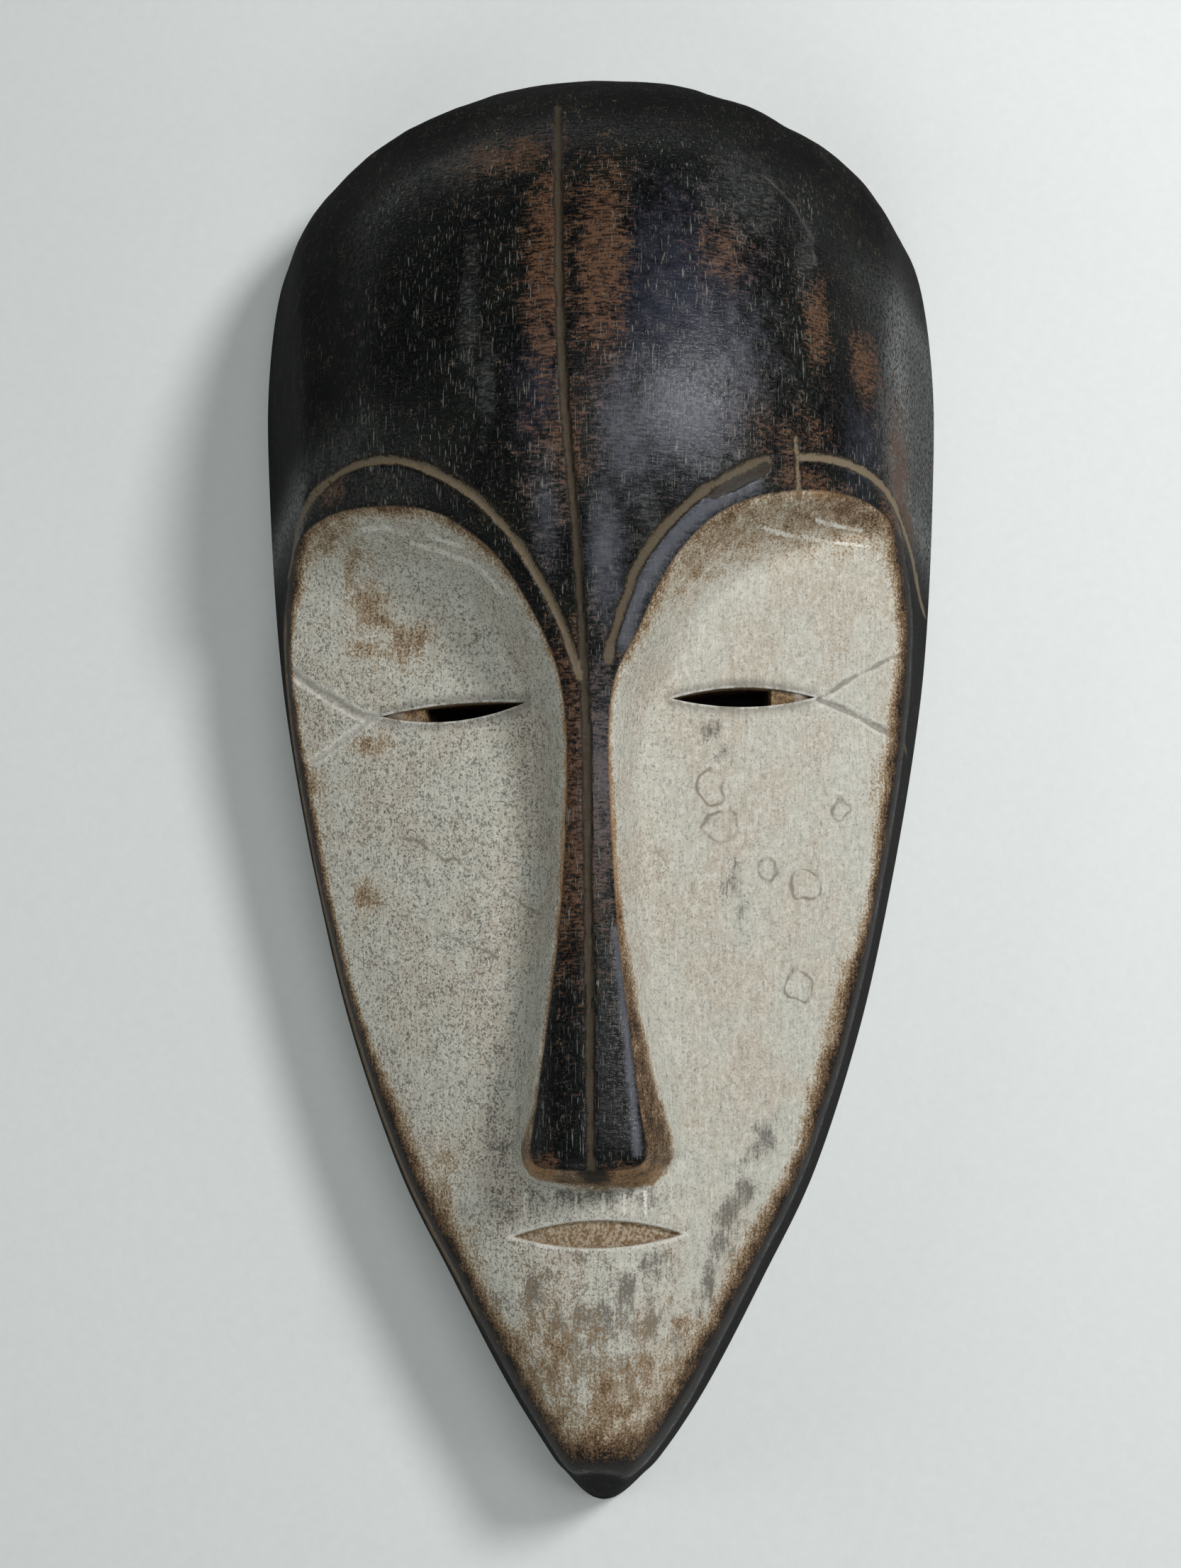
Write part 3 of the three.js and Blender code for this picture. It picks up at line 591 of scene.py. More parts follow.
def mesh_object(name, points, faces):
    """A closed piece. Its triangles are turned outwards, where all of it would be inside out."""
    a, b, c = (points[faces[:, k]] for k in range(3))
    if np.einsum("ij,ij->i", a, np.cross(b, c)).sum() <= 0:
        faces = faces[:, ::-1]
    mesh = bpy.data.meshes.new(name)
    mesh.from_pydata((points * MM).tolist(), [], faces.tolist())
    mesh.update()
    return link(name, mesh)


def eye_plug(eye, count=48, across=6):
    """A closed lens-shaped plug. Its floor is deep at the inner side and rises to a blind outer corner."""
    angle = np.linspace(0, math.pi, count + 1)[:, None]
    middle_x, middle_y = eye["middle"]
    dx = eye["half"] * np.cos(angle)
    bow = np.sin(angle) ** 2
    x = np.repeat(middle_x + dx, across + 1, 1)
    y = middle_y + eye["tilt"] * dx + bow * mix(-eye["below"], eye["above"], np.linspace(0, 1, across + 1))
    opened = ease(eye["inner"] * (x - middle_x) / eye["half"], *EYE_BLIND)
    floor = face_surface(x, y) - mix(EYE_BLIND_DEPTH, EYE_DEPTH, opened) + uneven(EYE_ROUGHNESS, x, y)
    floor[[0, -1]] = floor[[1, -2]].mean(axis=1, keepdims=True)
    bottom, top = (np.dstack([x, y, z]) for z in (floor, np.full(x.shape, HIGHEST.z + PLUG_ABOVE)))
    sides = [np.stack([bottom[::step, end], top[::step, end]], 1) for end, step in ((0, -1), (-1, 1))]
    return weld([grid(bottom), grid(top[:, ::-1]), *(grid(side) for side in sides)])


def cut_away(piece, cutter):
    """Cuts one closed piece out of another, and deletes the cutter."""
    modifier = piece.modifiers.new("cut", "BOOLEAN")
    modifier.operation = "DIFFERENCE"
    modifier.solver = "MANIFOLD"
    modifier.object = cutter
    depsgraph = bpy.context.evaluated_depsgraph_get()
    result = bpy.data.meshes.new_from_object(piece.evaluated_get(depsgraph))
    piece.modifiers.clear()
    piece.data = result
    bpy.data.objects.remove(cutter)


def mask_shell():
    """The whole mask as one closed piece: front with side walls, flat back rim, hollow and eye slits."""
    front = curved_sheet(rim_loop, shoulder_loop(), SIDE_ROWS, CELL, front_levels, front_height)
    spine = spine_points(hollow_loop)
    points, faces = curved_sheet(hollow_loop, spine, HOLLOW_ROWS, HOLLOW_CELL, one_level, hollow_height)
    hollow = (points, faces[:, ::-1])
    plan, faces = triangulate([rim_loop, hollow_loop], lattice(rim_loop, FLAT_CELL, one_level))
    flat = (np.column_stack([plan, np.zeros(len(plan))]), faces[:, ::-1])
    piece = mesh_object("carved_mask", *weld([front, hollow, flat]))
    for eye in (LEFT_EYE, RIGHT_EYE):
        cut_away(piece, mesh_object("plug", *eye_plug(eye)))
    return piece


# Wear, dirt and painted light, as (x, y, radius across, radius along, strength if it isn't 1). On the stain,
# rubbed patches are brown, dusty ones grey, sheen patches a painted bluish reflection and highlight ones a
# painted whitish highlight. On the clay, bare patches show brown wood, the one under the nose's end is
# darker, and smudges are grey.
RUBBED = [
    (-9, 95, 6, 34, 0.8), (3, 98, 6.5, 30, 1.1), (-6, 56, 7, 18, 0.5), (-20, 127, 15, 7, 0.7),
    (29, 101, 6, 10, 0.5), (49.5, 87, 3.4, 13), (61, 80, 4, 10), (-48, 156, 24, 2.4), (-6, 162, 12, 2, 0.8),
    (-3, -19, 13, 37, 0.85), (-58, 52, 5, 3, 0.8), (70, 62, 4, 18, 0.8), (46, 51, 9, 3, 0.8),
    (70, 52, 6, 6), (38, 60, 12, 5, 0.3), (-10.5, -96, 4, 3.2), (9, -97.5, 8, 3),
]
DUSTY = [
    (34, 117, 11, 16), (-22, 68, 2.6, 14, 1.2), (-26, 84, 3, 26, 0.7), (-30, 126, 12, 9, 0.7),
    (66, 88, 3.5, 16, 0.3), (-58, 62, 12, 10), (48, 104, 3, 16), (30, 50, 15, 6), (13, 36, 4, 15),
    (22, 68, 12, 14, 0.7),
]
# Sheen patches: a painted bluish reflection on the stain.
BLUE_SHEEN_PATCHES = [(20, 82, 22, 46), (-10, 66, 8, 26, 0.7), (6, -76, 9, 22, 0.2), (60, 60, 7, 18, 0.7)]
BARE = [
    (-60, 44, 9, 4.5, 0.9), (-55, 40, 5, 5, 0.8), (-51, 29.5, 5, 5, 0.9), (-43, 20.5, 7, 6.5),
    (-51, 20, 6, 2.4, 0.8), (-51.5, -1.6, 6.5, 2.6, 0.9), (-52.4, -34.9, 4, 5), (-66, -10, 6, 7, 0.7),
    (19, -130, 3, 3), (-16, -135, 3, 5, 0.8), (-8.6, -138, 6, 9, 0.8), (2, -142, 6, 8, 0.8),
    (-33.6, -99, 3.5, 8, 0.8), (-28, -110, 2.4, 1.6), (67, -12, 4, 8), (58, -58, 4, 9),
    (0, -164, 28, 36, 0.85),
]
# A darker patch under the nose's end.
DARK_UNDER_NOSE = [(0.5, -97.8, 8, 3.5)]
SMUDGES = [
    (26.4, 0.5, 4, 5, 0.6), (28.6, -5.5, 2.4, 6, 0.6), (31, -34, 3.6, 5.5, 0.85), (33.5, -42, 3, 6, 0.5),
    (38, -88.5, 3.6, 6.5), (34.8, -94.5, 3, 5, 0.6), (33, -101.5, 3.2, 6), (30, -106, 4, 6),
    (27.6, -111.5, 4, 7, 1.1), (25, -122, 1.9, 9, 1.1), (-13.3, -123, 2.4, 7, 1.3),
    (-9.8, -119.5, 1.8, 2.6, 1.2), (-8, -129.5, 3.4, 4.2, 1.1), (-3, -128.5, 3.4, 4, 1.2),
    (2.5, -127.5, 3.4, 4, 1.1), (7.4, -123.5, 2.4, 7, 1.5), (18, -135.5, 1.7, 8, 1.1), (5, -155, 5.5, 7),
    (0, -102, 17, 3.4, 0.8), (-20, -92, 4, 16, 0.5), (-3, -134, 9, 5, 0.8), (8, -143, 2, 8),
    (-22, -126, 3, 6, 0.8), (14, -117, 6, 5, 0.7), (-6, -113, 9, 7, 0.45), (-12, -142, 4, 7, 0.8),
    (22.5, -124, 1.5, 9, 1.1), (12, -129, 2, 9, 0.9), (-9, -138, 1.8, 9, 1.1), (-15.5, -137, 1.7, 7),
    (0, -139, 2, 6, 0.9), (2, -148, 3, 7, 0.8), (0, -138, 26, 24, 0.6),
]
# Painted whitish highlights on the stain.
PALE_HIGHLIGHTS = [
    (3.5, 33, 6.5, 24, 0.8), (8, 58, 10, 20, 0.7), (21, 62, 17, 16, 1.1), (-9, 42, 5, 18, 0.6),
    (2, -12, 7, 42, 0.6), (28, 74, 16, 24, 0.45),
]
# Longer marks as (half width, points): a painted whitish highlight on the nose and below the right brow, an
# ochre run on the clay, and black edges.
NOSE_HIGHLIGHT = [(5, -46), (6.6, -62), (8, -76), (9, -88), (9.4, -93)]
BROW_HIGHLIGHT = [(7, 15), (9.5, 23), (14, 31), (20.5, 39), (28, 44.8), (35, 48.8)]
PALE_HIGHLIGHT_RUNS = [(1.6, NOSE_HIGHLIGHT), (3.4, BROW_HIGHLIGHT)]
BARE_RUNS = [(1.6, [(-54, 41), (-56, 36.5), (-53, 32), (-47, 25.5), (-42, 20)])]
BLACK_RUNS = [
    (1.6, [(-42, -107), (-31.4, -120), (-25, -131), (-15.2, -148)]),
    (2.6, [(-8, -160), (0, -163), (9, -159.5)]),
    (2.2, [(42, -103), (37.8, -112.6), (33.4, -123.3), (25.2, -136.9), (19.8, -144), (12.7, -156)]),
]
# Water marks: rings on the right cheek, as (x, y, radius), how far and how broadly they waver, and lines on
# the left cheek. Then thin pale scratches.
RINGS = [
    (55.6, -16.6, 2.3), (47, -34, 3.3), (26, -12.8, 3.3), (27.4, -21.4, 3.7), (38.3, -30.6, 2.3),
    (45.5, -56.5, 3.2),
]
MARK_WAVER = (1.1, 2.6, 2.6)
RING_ROUGHNESS = [(0.35, 1.2, 1.2, 16)]
ARCS = [
    [(-48.1, -24), (-40.9, -23.3), (-31.5, -28.8), (-21.8, -34.6), (-12.1, -41.3)],
    [(-44.7, -40.1), (-32.3, -45), (-21.8, -50.2)],
]
SCRATCHES = [
    [(39.2, 123.7), (45.5, 117.2), (48.9, 110.3), (49.9, 103)], [(-51.4, 43.8), (-46, 43.3), (-40.6, 41.6)],
    [(-40.2, 40.3), (-32.8, 37.5), (-25.9, 33.9)], [(-25.3, 33.4), (-22, 30.2), (-19.5, 26.9)],
    [(-36, 40.6), (-28, 36.8)], [(37.8, 42.5), (45.3, 42.6)], [(49.6, 45.7), (60.5, 45.8)],
    [(47, 42.9), (54.8, 42.8), (62, 42.6)], [(-15.3, -101.6), (-15.4, -106.8)],
    [(-9.2, -101.2), (-9.4, -104.8)], [(-4.1, -102.4), (-4.1, -106.4)], [(1.8, -101.8), (1.7, -105.6)],
    [(6.4, -101.9), (6.5, -106)], [(10.9, -101), (11, -105.9)],
]
# The worn border below the ridge, as (distance along the ridge, width, softness of its outer edge, wear).
RIDGE_BORDER = [
    (0, 1.8, 1.2, 1.1), (38, 2.2, 1.4, 1.1), (90, 1.6, 1, 1.1), (110, 1, 0.7, 1.1), (200, 1, 0.6, 1.0),
    (207, 2.8, 0.5, 1.35), (221, 3.4, 0.5, 1.4), (232, 4.4, 0.5, 1.4), (237, 6.2, 0.5, 1.5),
    (242, 5.8, 0.5, 1.5), (249, 4.7, 0.8, 1.5), (258, 4, 1, 1.5), (266, 3, 1.2, 1.5), (279, 2.4, 1.2, 1.4),
    (294, 1.5, 0.8, 1.2), (334, 1, 0.7, 1.1), (345, 1.8, 2, 1.1), (358, 4, 4, 1.1), (373, 6.5, 6, 1.1),
    (390, 8.5, 8, 1.1), (407, 9, 8, 1.1), (424, 7, 4, 1.1), (451, 5, 3, 1.1),
]
# The worn border along the edge of the cheeks, as (y, width), and how worn the edge and the patches are.
LEFT_BORDER = [
    (CHIN, 5), (-130, 5), (-110, 5.4), (-92, 5), (-75, 3.6), (-60, 2.6), (-40, 2.4), (-8, 2.6), (20, 1.6),
    (40, 4.5), (CROWN, 4.5),
]
RIGHT_BORDER = [
    (CHIN, 6), (-130, 5), (-110, 4.6), (-90, 4.4), (-75, 5), (-58, 5), (-45, 3), (-25, 3.4), (-5, 4.6),
    (20, 3.4), (40, 4.5), (CROWN, 4.5),
]
BORDER_STRENGTH = 2.7
BARE_STRENGTH = 1.15
BLACK_STRENGTH = 3.2

# Where the finish changes, as ranges of x, y or how far in from the edge of the side walls. Chafed places lie
# along the left edge. Matt or plain ones are the crown, the side walls up to the brows, the right end of the
# forehead and what lies beyond it.
NOSE_SIDES, NOSE_BELOW = (20, 28), (-125, -114)
CHAFED_EDGE, CHAFED_FROM, CHAFED_TO = (-3.0, -1.8), (-150, -110), (25, 40)
CROWN_EDGE, CROWN_FROM, CROWN_LEFT, CROWN_LEFT_FROM = (4, 20), (95, 125), (40, 60), (50, 70)
WALL_EDGE, WALL_TO = (-1.2, -0.4), (30, 60)
TEMPLE_FROM, TEMPLE_TO, TEMPLE_ABOVE = (46, 56), (70, 76), (55, 70)
BEYOND_ABOVE, BEYOND_MATT = (45, 65), 0.25
SPECKLED_X, SPECKLED_RIGHT = (-20, 30), 0.4


def patches(places, x, y):
    """The strength at the middle of the nearest patch, 0 at its edge and negative outside."""
    field = np.full(x.shape, -1.0)
    for cx, cy, rx, ry, *strength in places:
        inside = 1 - np.hypot((x - cx) / rx, (y - cy) / ry)
        field = np.maximum(field, (strength[0] if strength else 1) * inside)
    return field


def runs(lines, x, y):
    """1 on the nearest run's line, 0 at its edge and negative outside."""
    return np.max([1 - distance_to(along(line, 1), x, y) / width for width, line in lines], axis=0)


def wavered(x, y):
    """Places moved a little, which makes the water marks uneven."""
    return x + uneven([(*MARK_WAVER, 14)], x, y), y + uneven([(*MARK_WAVER, 15)], x, y)


def ring_gap(x, y):
    """The distance to the nearest round water mark, negative inside it."""
    x, y = wavered(x, y)
    nearest = np.min([np.hypot(x - cx, y - cy) - r for cx, cy, r in RINGS], axis=0)
    return nearest + uneven(RING_ROUGHNESS, x, y)


def clay_wear(x, y, gap, run, edge):
    """How far the clay has worn: below 0 it is whole, at 1 brown wood shows, and above 2 the wood is dark."""
    at, width, softness, most = np.array(RIDGE_BORDER).T
    by_ridge = (np.interp(run, at, width) - gap) / np.interp(run, at, softness)
    by_ridge = np.clip(by_ridge, -2, np.interp(run, at, most))
    border = np.where(x < 0, profile(LEFT_BORDER, y), profile(RIGHT_BORDER, y))
    by_edge = BORDER_STRENGTH * (1 - edge / border)
    by_patch = BARE_STRENGTH * np.maximum(patches(BARE, x, y), runs(BARE_RUNS, x, y))
    # darker under the nose's end and along the black edges
    darkened = BLACK_STRENGTH * np.maximum(patches(DARK_UNDER_NOSE, x, y), runs(BLACK_RUNS, x, y))
    return np.max([by_ridge, by_edge, by_patch, darkened], axis=0)


def groove_fields(x, y):
    """The distance to the nearest carved line, negative inside, and how much dirt shows in that line."""
    gaps = np.array([groove_gap(name, x, y) for name in GROOVES])
    tones = np.array([dirt for _, _, dirt, _ in GROOVES.values()])
    return gaps.min(axis=0), tones[gaps.argmin(axis=0)]


def finish_fields(x, y, z):
    """The named values that the material reads at each point of the mask, in millimetres or shares."""
    gap, run = nearest_on(ridge_line, x, y)
    edge = (wall_height(x, y) - surface_without_detail(x, y, gap)) / profile(WALL_SLOPE, y)
    groove, tone = groove_fields(x, y)
    off_nose = np.maximum(ease(np.abs(x), *NOSE_SIDES), 1 - ease(y, *NOSE_BELOW))
    chafed = ease(edge, *CHAFED_EDGE) * off_nose * (x < 0)
    chafed = chafed * ease(y, *CHAFED_FROM) * (1 - ease(y, *CHAFED_TO))
    crown = np.maximum(ease(y, *CROWN_FROM), ease(-x, *CROWN_LEFT) * ease(y, *CROWN_LEFT_FROM))
    crown = crown * (1 - ease(edge, *CROWN_EDGE))
    wall = (1 - ease(edge, *WALL_EDGE)) * (1 - ease(y, *WALL_TO)) * off_nose
    temple = ease(x, *TEMPLE_FROM) * (1 - ease(x, *TEMPLE_TO)) * ease(y, *TEMPLE_ABOVE)
    beyond = BEYOND_MATT * ease(x, *TEMPLE_TO) * ease(y, *BEYOND_ABOVE)
    return {
        "ridge_mm": gap,
        "edge_mm": edge,
        "wear": clay_wear(x, y, gap, run, edge),
        "groove_mm": groove,
        "groove_tone": tone,
        "lips_mm": outside_of([mouth_outline], x, y),
        "slit_mm": outside_of(eye_outlines, x, y),
        "depth_mm": front_height(x, y) - z,
        "rubbed": patches(RUBBED, x, y),
        "dusty": patches(DUSTY, x, y),
        "blue": patches(BLUE_SHEEN_PATCHES, x, y),
        "smudge": patches(SMUDGES, x, y),
        "pale": np.maximum(runs(PALE_HIGHLIGHT_RUNS, x, y), patches(PALE_HIGHLIGHTS, x, y)),
        "chafed": chafed,
        "ring_mm": ring_gap(x, y),
        "arc_mm": nearest_line(ARCS, *wavered(x, y)),
        "scratch_mm": nearest_line(SCRATCHES, x, y),
        "speckled": mix(1.0, SPECKLED_RIGHT, ease(x, *SPECKLED_X)),
        "matt": np.max([crown, wall, beyond], axis=0),
        "plain": np.max([crown, wall, temple], axis=0),
    }


def write_fields(piece):
    mesh = piece.data
    points = np.zeros(len(mesh.vertices) * 3)
    mesh.vertices.foreach_get("co", points)
    x, y, z = points.reshape(-1, 3).T / MM
    for name, values in finish_fields(x, y, z).items():
        mesh.attributes.new(name, "FLOAT", "POINT").data.foreach_set("value", values.astype(np.float32))


# Colours, as linear red, green and blue.
STAIN = (0.0034, 0.0036, 0.004, 1)
STAIN_GREEN = (0.0052, 0.0066, 0.0056, 1)
# Painted bluish reflection on the stain.
PAINTED_BLUE_SHEEN = (0.018, 0.02, 0.032, 1)
# Painted whitish highlight on the stain.
PAINTED_PALE_HIGHLIGHT = (0.1, 0.105, 0.125, 1)
STAIN_RUBBED = (0.105, 0.053, 0.029, 1)
STAIN_BROWN = (0.022, 0.013, 0.0095, 1)
DUST = (0.075, 0.08, 0.078, 1)
TICK = (0.15, 0.148, 0.135, 1)
GROOVE_FILL = (0.17, 0.13, 0.082, 1)
# Painted shade along the edges of the carved lines on the stain.
GROOVE_EDGE_SHADE = (0.018, 0.014, 0.01, 1)
CLAY = (0.49, 0.48, 0.42, 1)
CLAY_WARM = (0.48, 0.435, 0.362, 1)
CLAY_PALE = (0.62, 0.605, 0.54, 1)
# White clay, also used as painted highlights beside the eye slits, the mouth and some carved lines.
WHITE_CLAY_AND_HIGHLIGHT = (0.76, 0.75, 0.7, 1)
PORE = (0.095, 0.09, 0.078, 1)
# Soot-grey dirt, also used as painted shade beside the eye slits.
SOOT_AND_SHADE = (0.11, 0.1, 0.088, 1)
CREASE = (0.055, 0.04, 0.028, 1)
WATER_MARK = (0.2, 0.17, 0.135, 1)
OCHRE = (0.27, 0.185, 0.1, 1)
WORN_BROWN = (0.108, 0.062, 0.031, 1)
EDGE_BROWN = (0.23, 0.165, 0.1, 1)
FOOT_WOOD = (0.26, 0.135, 0.055, 1)
WORN_DARK = (0.012, 0.0095, 0.008, 1)
BACK_WOOD = (0.1, 0.058, 0.033, 1)
BACK_DARK = (0.028, 0.018, 0.012, 1)
# Painted shade on the walls inside the eye slits.
SLIT_WALL_SHADE = (0.012, 0.009, 0.007, 1)
FLOOR_DARK = (0.69, 0.72, 0.72, 1)
FLOOR_LIGHT = (0.74, 0.77, 0.77, 1)

SPECULAR = 0.13
STAIN_ROUGHNESS = (0.16, 0.26)
PIT_ROUGHNESS = 0.7
RUBBED_ROUGHNESS = 0.62
CLAY_ROUGHNESS = 0.85
WORN_ROUGHNESS = 0.58
BACK_ROUGHNESS = 0.75
FLOOR_ROUGHNESS = 0.7
BUMP_STRENGTH = 0.8
BUMP_HEIGHT = 0.25 * MM
STAIN_BUMPS = {"grit": 0.3, "streak": 0.3, "across": 0.6}
CLAY_BUMPS = {"grit": 1, "speck": -0.8, "brush": 0.7}
FLOOR_BUMP_STRENGTH = 0.25
FLOOR_BUMP_HEIGHT = 0.3 * MM

# Grains of the finish, as (sizes across, along and upwards), detail, roughness and seed. A seed is how many
# steps the grain is moved.
GRAINS = {
    "grit": ((0.42, 0.5, 0.45), 3, 0.6, 1),
    "speck": ((0.75, 0.95, 0.8), 2, 0.5, 2),
    "streak": ((0.3, 3.6, 1.2), 2, 0.5, 3),
    "across": ((2.2, 0.6, 1), 3, 0.6, 4),
    "brush": ((0.55, 6, 2), 3, 0.6, 5),
    "fine": ((1.3, 1.8, 1.3), 3, 0.65, 6),
    "patchy": ((3.4, 4.6, 3.4), 4, 0.6, 7),
    "cloudy": ((14, 22, 14), 3, 0.55, 8),
    "long": ((1.6, 45, 6), 3, 0.6, 9),
}
FLOOR_GRAIN = ((2.2, 2.2, 2.2), 2, 0.5, 8)
SEED_STEP = (7.3, 3.1, 5.7)


class Nodes:
    """A new material. Its methods add shader nodes and return their outputs."""

    def __init__(self, name, grains):
        self.material = bpy.data.materials.new(name)
        self.material.use_nodes = True
        self.tree = self.material.node_tree
        self.shader = self.tree.nodes["Principled BSDF"]
        self.place = self.add("ShaderNodeTexCoord", {}).outputs["Object"]
        self.grain = {grain: self.noise(*settings) for grain, settings in grains.items()}

    def put(self, node, inputs):
        """Sets or links some of a node's inputs. A string stands for a grain or a field of the mesh."""
        for name, value in inputs.items():
            if isinstance(value, str):
                value = self.grain[value] if value in self.grain else self.field(value)
            if isinstance(value, bpy.types.NodeSocket):
                self.tree.links.new(value, node.inputs[name])
            else:
                node.inputs[name].default_value = value

    def add(self, kind, inputs, **settings):
        node = self.tree.nodes.new(kind)
        for name, value in settings.items():
            setattr(node, name, value)
        self.put(node, inputs)
        return node

    def field(self, name):
        return self.add("ShaderNodeAttribute", {}, attribute_name=name).outputs["Fac"]

    def math(self, operation, *values):
        """The values taken together by one operation, from left to right."""
        total = values[0]
        for value in values[1:]:
            total = self.add("ShaderNodeMath", {0: total, 1: value}, operation=operation).outputs[0]
        return total

    plus = partialmethod(math, "ADD")
    times = partialmethod(math, "MULTIPLY")
    most = partialmethod(math, "MAXIMUM")

    def ramp(self, value, low, high, start=0.0, end=1.0):
        """Goes smoothly from start at low to end at high, and stays level beyond. Low may be above high."""
        if low > high:
            low, high, start, end = high, low, end, start
        limits = {"Value": value, "From Min": low, "From Max": high, "To Min": start, "To Max": end}
        return self.add("ShaderNodeMapRange", limits, interpolation_type="SMOOTHSTEP").outputs[0]

    def noise(self, sizes, detail, roughness, seed):
        """Noise from 0 to 1 whose features have these sizes in millimetres."""
        scale = [1 / (size * MM) for size in sizes]
        shift = [step * seed for step in SEED_STEP]
        mapping = self.add("ShaderNodeMapping", {"Vector": self.place, "Scale": scale, "Location": shift})
        inputs = {"Vector": mapping.outputs[0], "Scale": 1.0, "Detail": detail, "Roughness": roughness}
        return self.add("ShaderNodeTexNoise", inputs).outputs["Fac"]

    def rough(self, value, **sizes):
        """A value moved up and down by the named grains, each by its size."""
        moves = [self.times(self.plus(name, -0.5), 2 * size) for name, size in sizes.items()]
        return self.plus(value, *moves)

    def blend(self, factor, a, b):
        """From colour a at 0 to colour b at 1."""
        return self.add("ShaderNodeMix", {0: factor, 6: a, 7: b}, data_type="RGBA").outputs[2]

    def level(self, factor, a, b):
        """From number a at 0 to number b at 1."""
        return self.add("ShaderNodeMix", {0: factor, 2: a, 3: b}, data_type="FLOAT").outputs[0]

    def coats(self, base, *layers):
        """A base colour under layers of (colour, value, low, high, most, where). A layer grows from nothing
        where its value is at low to most, or to 1, where it is at high. The factor where may limit it."""
        for colour, value, low, high, *limits in layers:
            factor = self.ramp(value, low, high, 0, *limits[:1])
            base = self.blend(self.times(factor, *limits[1:]), base, colour)
        return base

    def bump(self, height, strength, distance):
        node = self.add("ShaderNodeBump", {"Height": height, "Strength": strength, "Distance": distance})
        self.put(self.shader, {"Normal": node.outputs[0]})


def scratched(n):
    """Up to 1 in the fine scratches, broken up by the grit and faint in places."""
    near = n.ramp(n.rough("scratch_mm", grit=0.5), 0.5, 0.15)
    return n.times(near, n.ramp("patchy", 0.37, 0.58, 0.2, 0.75))


def stained_wood(n):
    """Black stain with painted sheen, highlights and line shade, rubbed brown places, dust, scratches and
    filled carved lines.
    """
    rub = n.rough("rubbed", patchy=0.8, across=1.1, grit=0.5)
    stray = n.times(n.ramp("across", 0.6, 0.74), n.ramp(rub, -1.3, 0, 0, 0.6))
    rub = n.most(n.ramp(rub, -0.1, 0.7, 0, 0.9), stray)
    shade = n.ramp(n.rough("across", grit=0.4), 0.36, 0.6)
    stain = n.coats(
        STAIN,
        (STAIN_GREEN, "cloudy", 0.42, 0.62),
        # painted bluish reflection
        (PAINTED_BLUE_SHEEN, n.rough("blue", patchy=0.8, across=0.5), 0, 0.9))
    stain = n.blend(rub, stain, n.blend(shade, STAIN_BROWN, STAIN_RUBBED))

    plain = n.ramp("plain", 0, 1, 1, 0.3)
    dust = n.ramp(n.rough("dusty", patchy=0.9, grit=0.8), -0.1, 0.9, 0, 0.55)
    dust = n.times(dust, n.ramp("across", 0.4, 0.62, 0.25, 1))
    specks = n.ramp("speck", 0.66, 0.74, 0, 0.5)
    stain = n.coats(
        n.blend(n.times(n.most(dust, specks), plain), stain, DUST),
        (n.blend(shade, WORN_BROWN, EDGE_BROWN), n.rough("chafed", patchy=0.8, grit=1.2), 0.3, 1, 0.9),
        # painted whitish highlight
        (PAINTED_PALE_HIGHLIGHT, n.rough("pale", patchy=0.35, across=0.45, grit=0.3), 0, 1, 0.85))
    ticks = n.times(n.ramp("streak", 0.62, 0.69), n.ramp("cloudy", 0.4, 0.6, 0.3, 0.9))
    ticks = n.times(ticks, n.ramp("edge_mm", -2, 1, 0.35, 1), plain)
    stain = n.blend(n.most(ticks, n.times(scratched(n), 0.4)), stain, TICK)

    in_groove = n.ramp(n.rough("groove_mm", grit=0.7, patchy=0.7), -0.1, -0.6)
    # painted shade along the carved lines' edges
    stain = n.coats(stain, (GROOVE_EDGE_SHADE, n.rough("groove_mm", grit=0.25), 0.25, -0.1, 0.8))
    fill = n.coats(GROOVE_FILL, (TICK, "speck", 0.5, 0.7, 0.6))
    stain = n.blend(n.times(in_groove, "groove_tone"), stain, fill)
    return stain, n.most(rub, n.times(in_groove, 1.5))


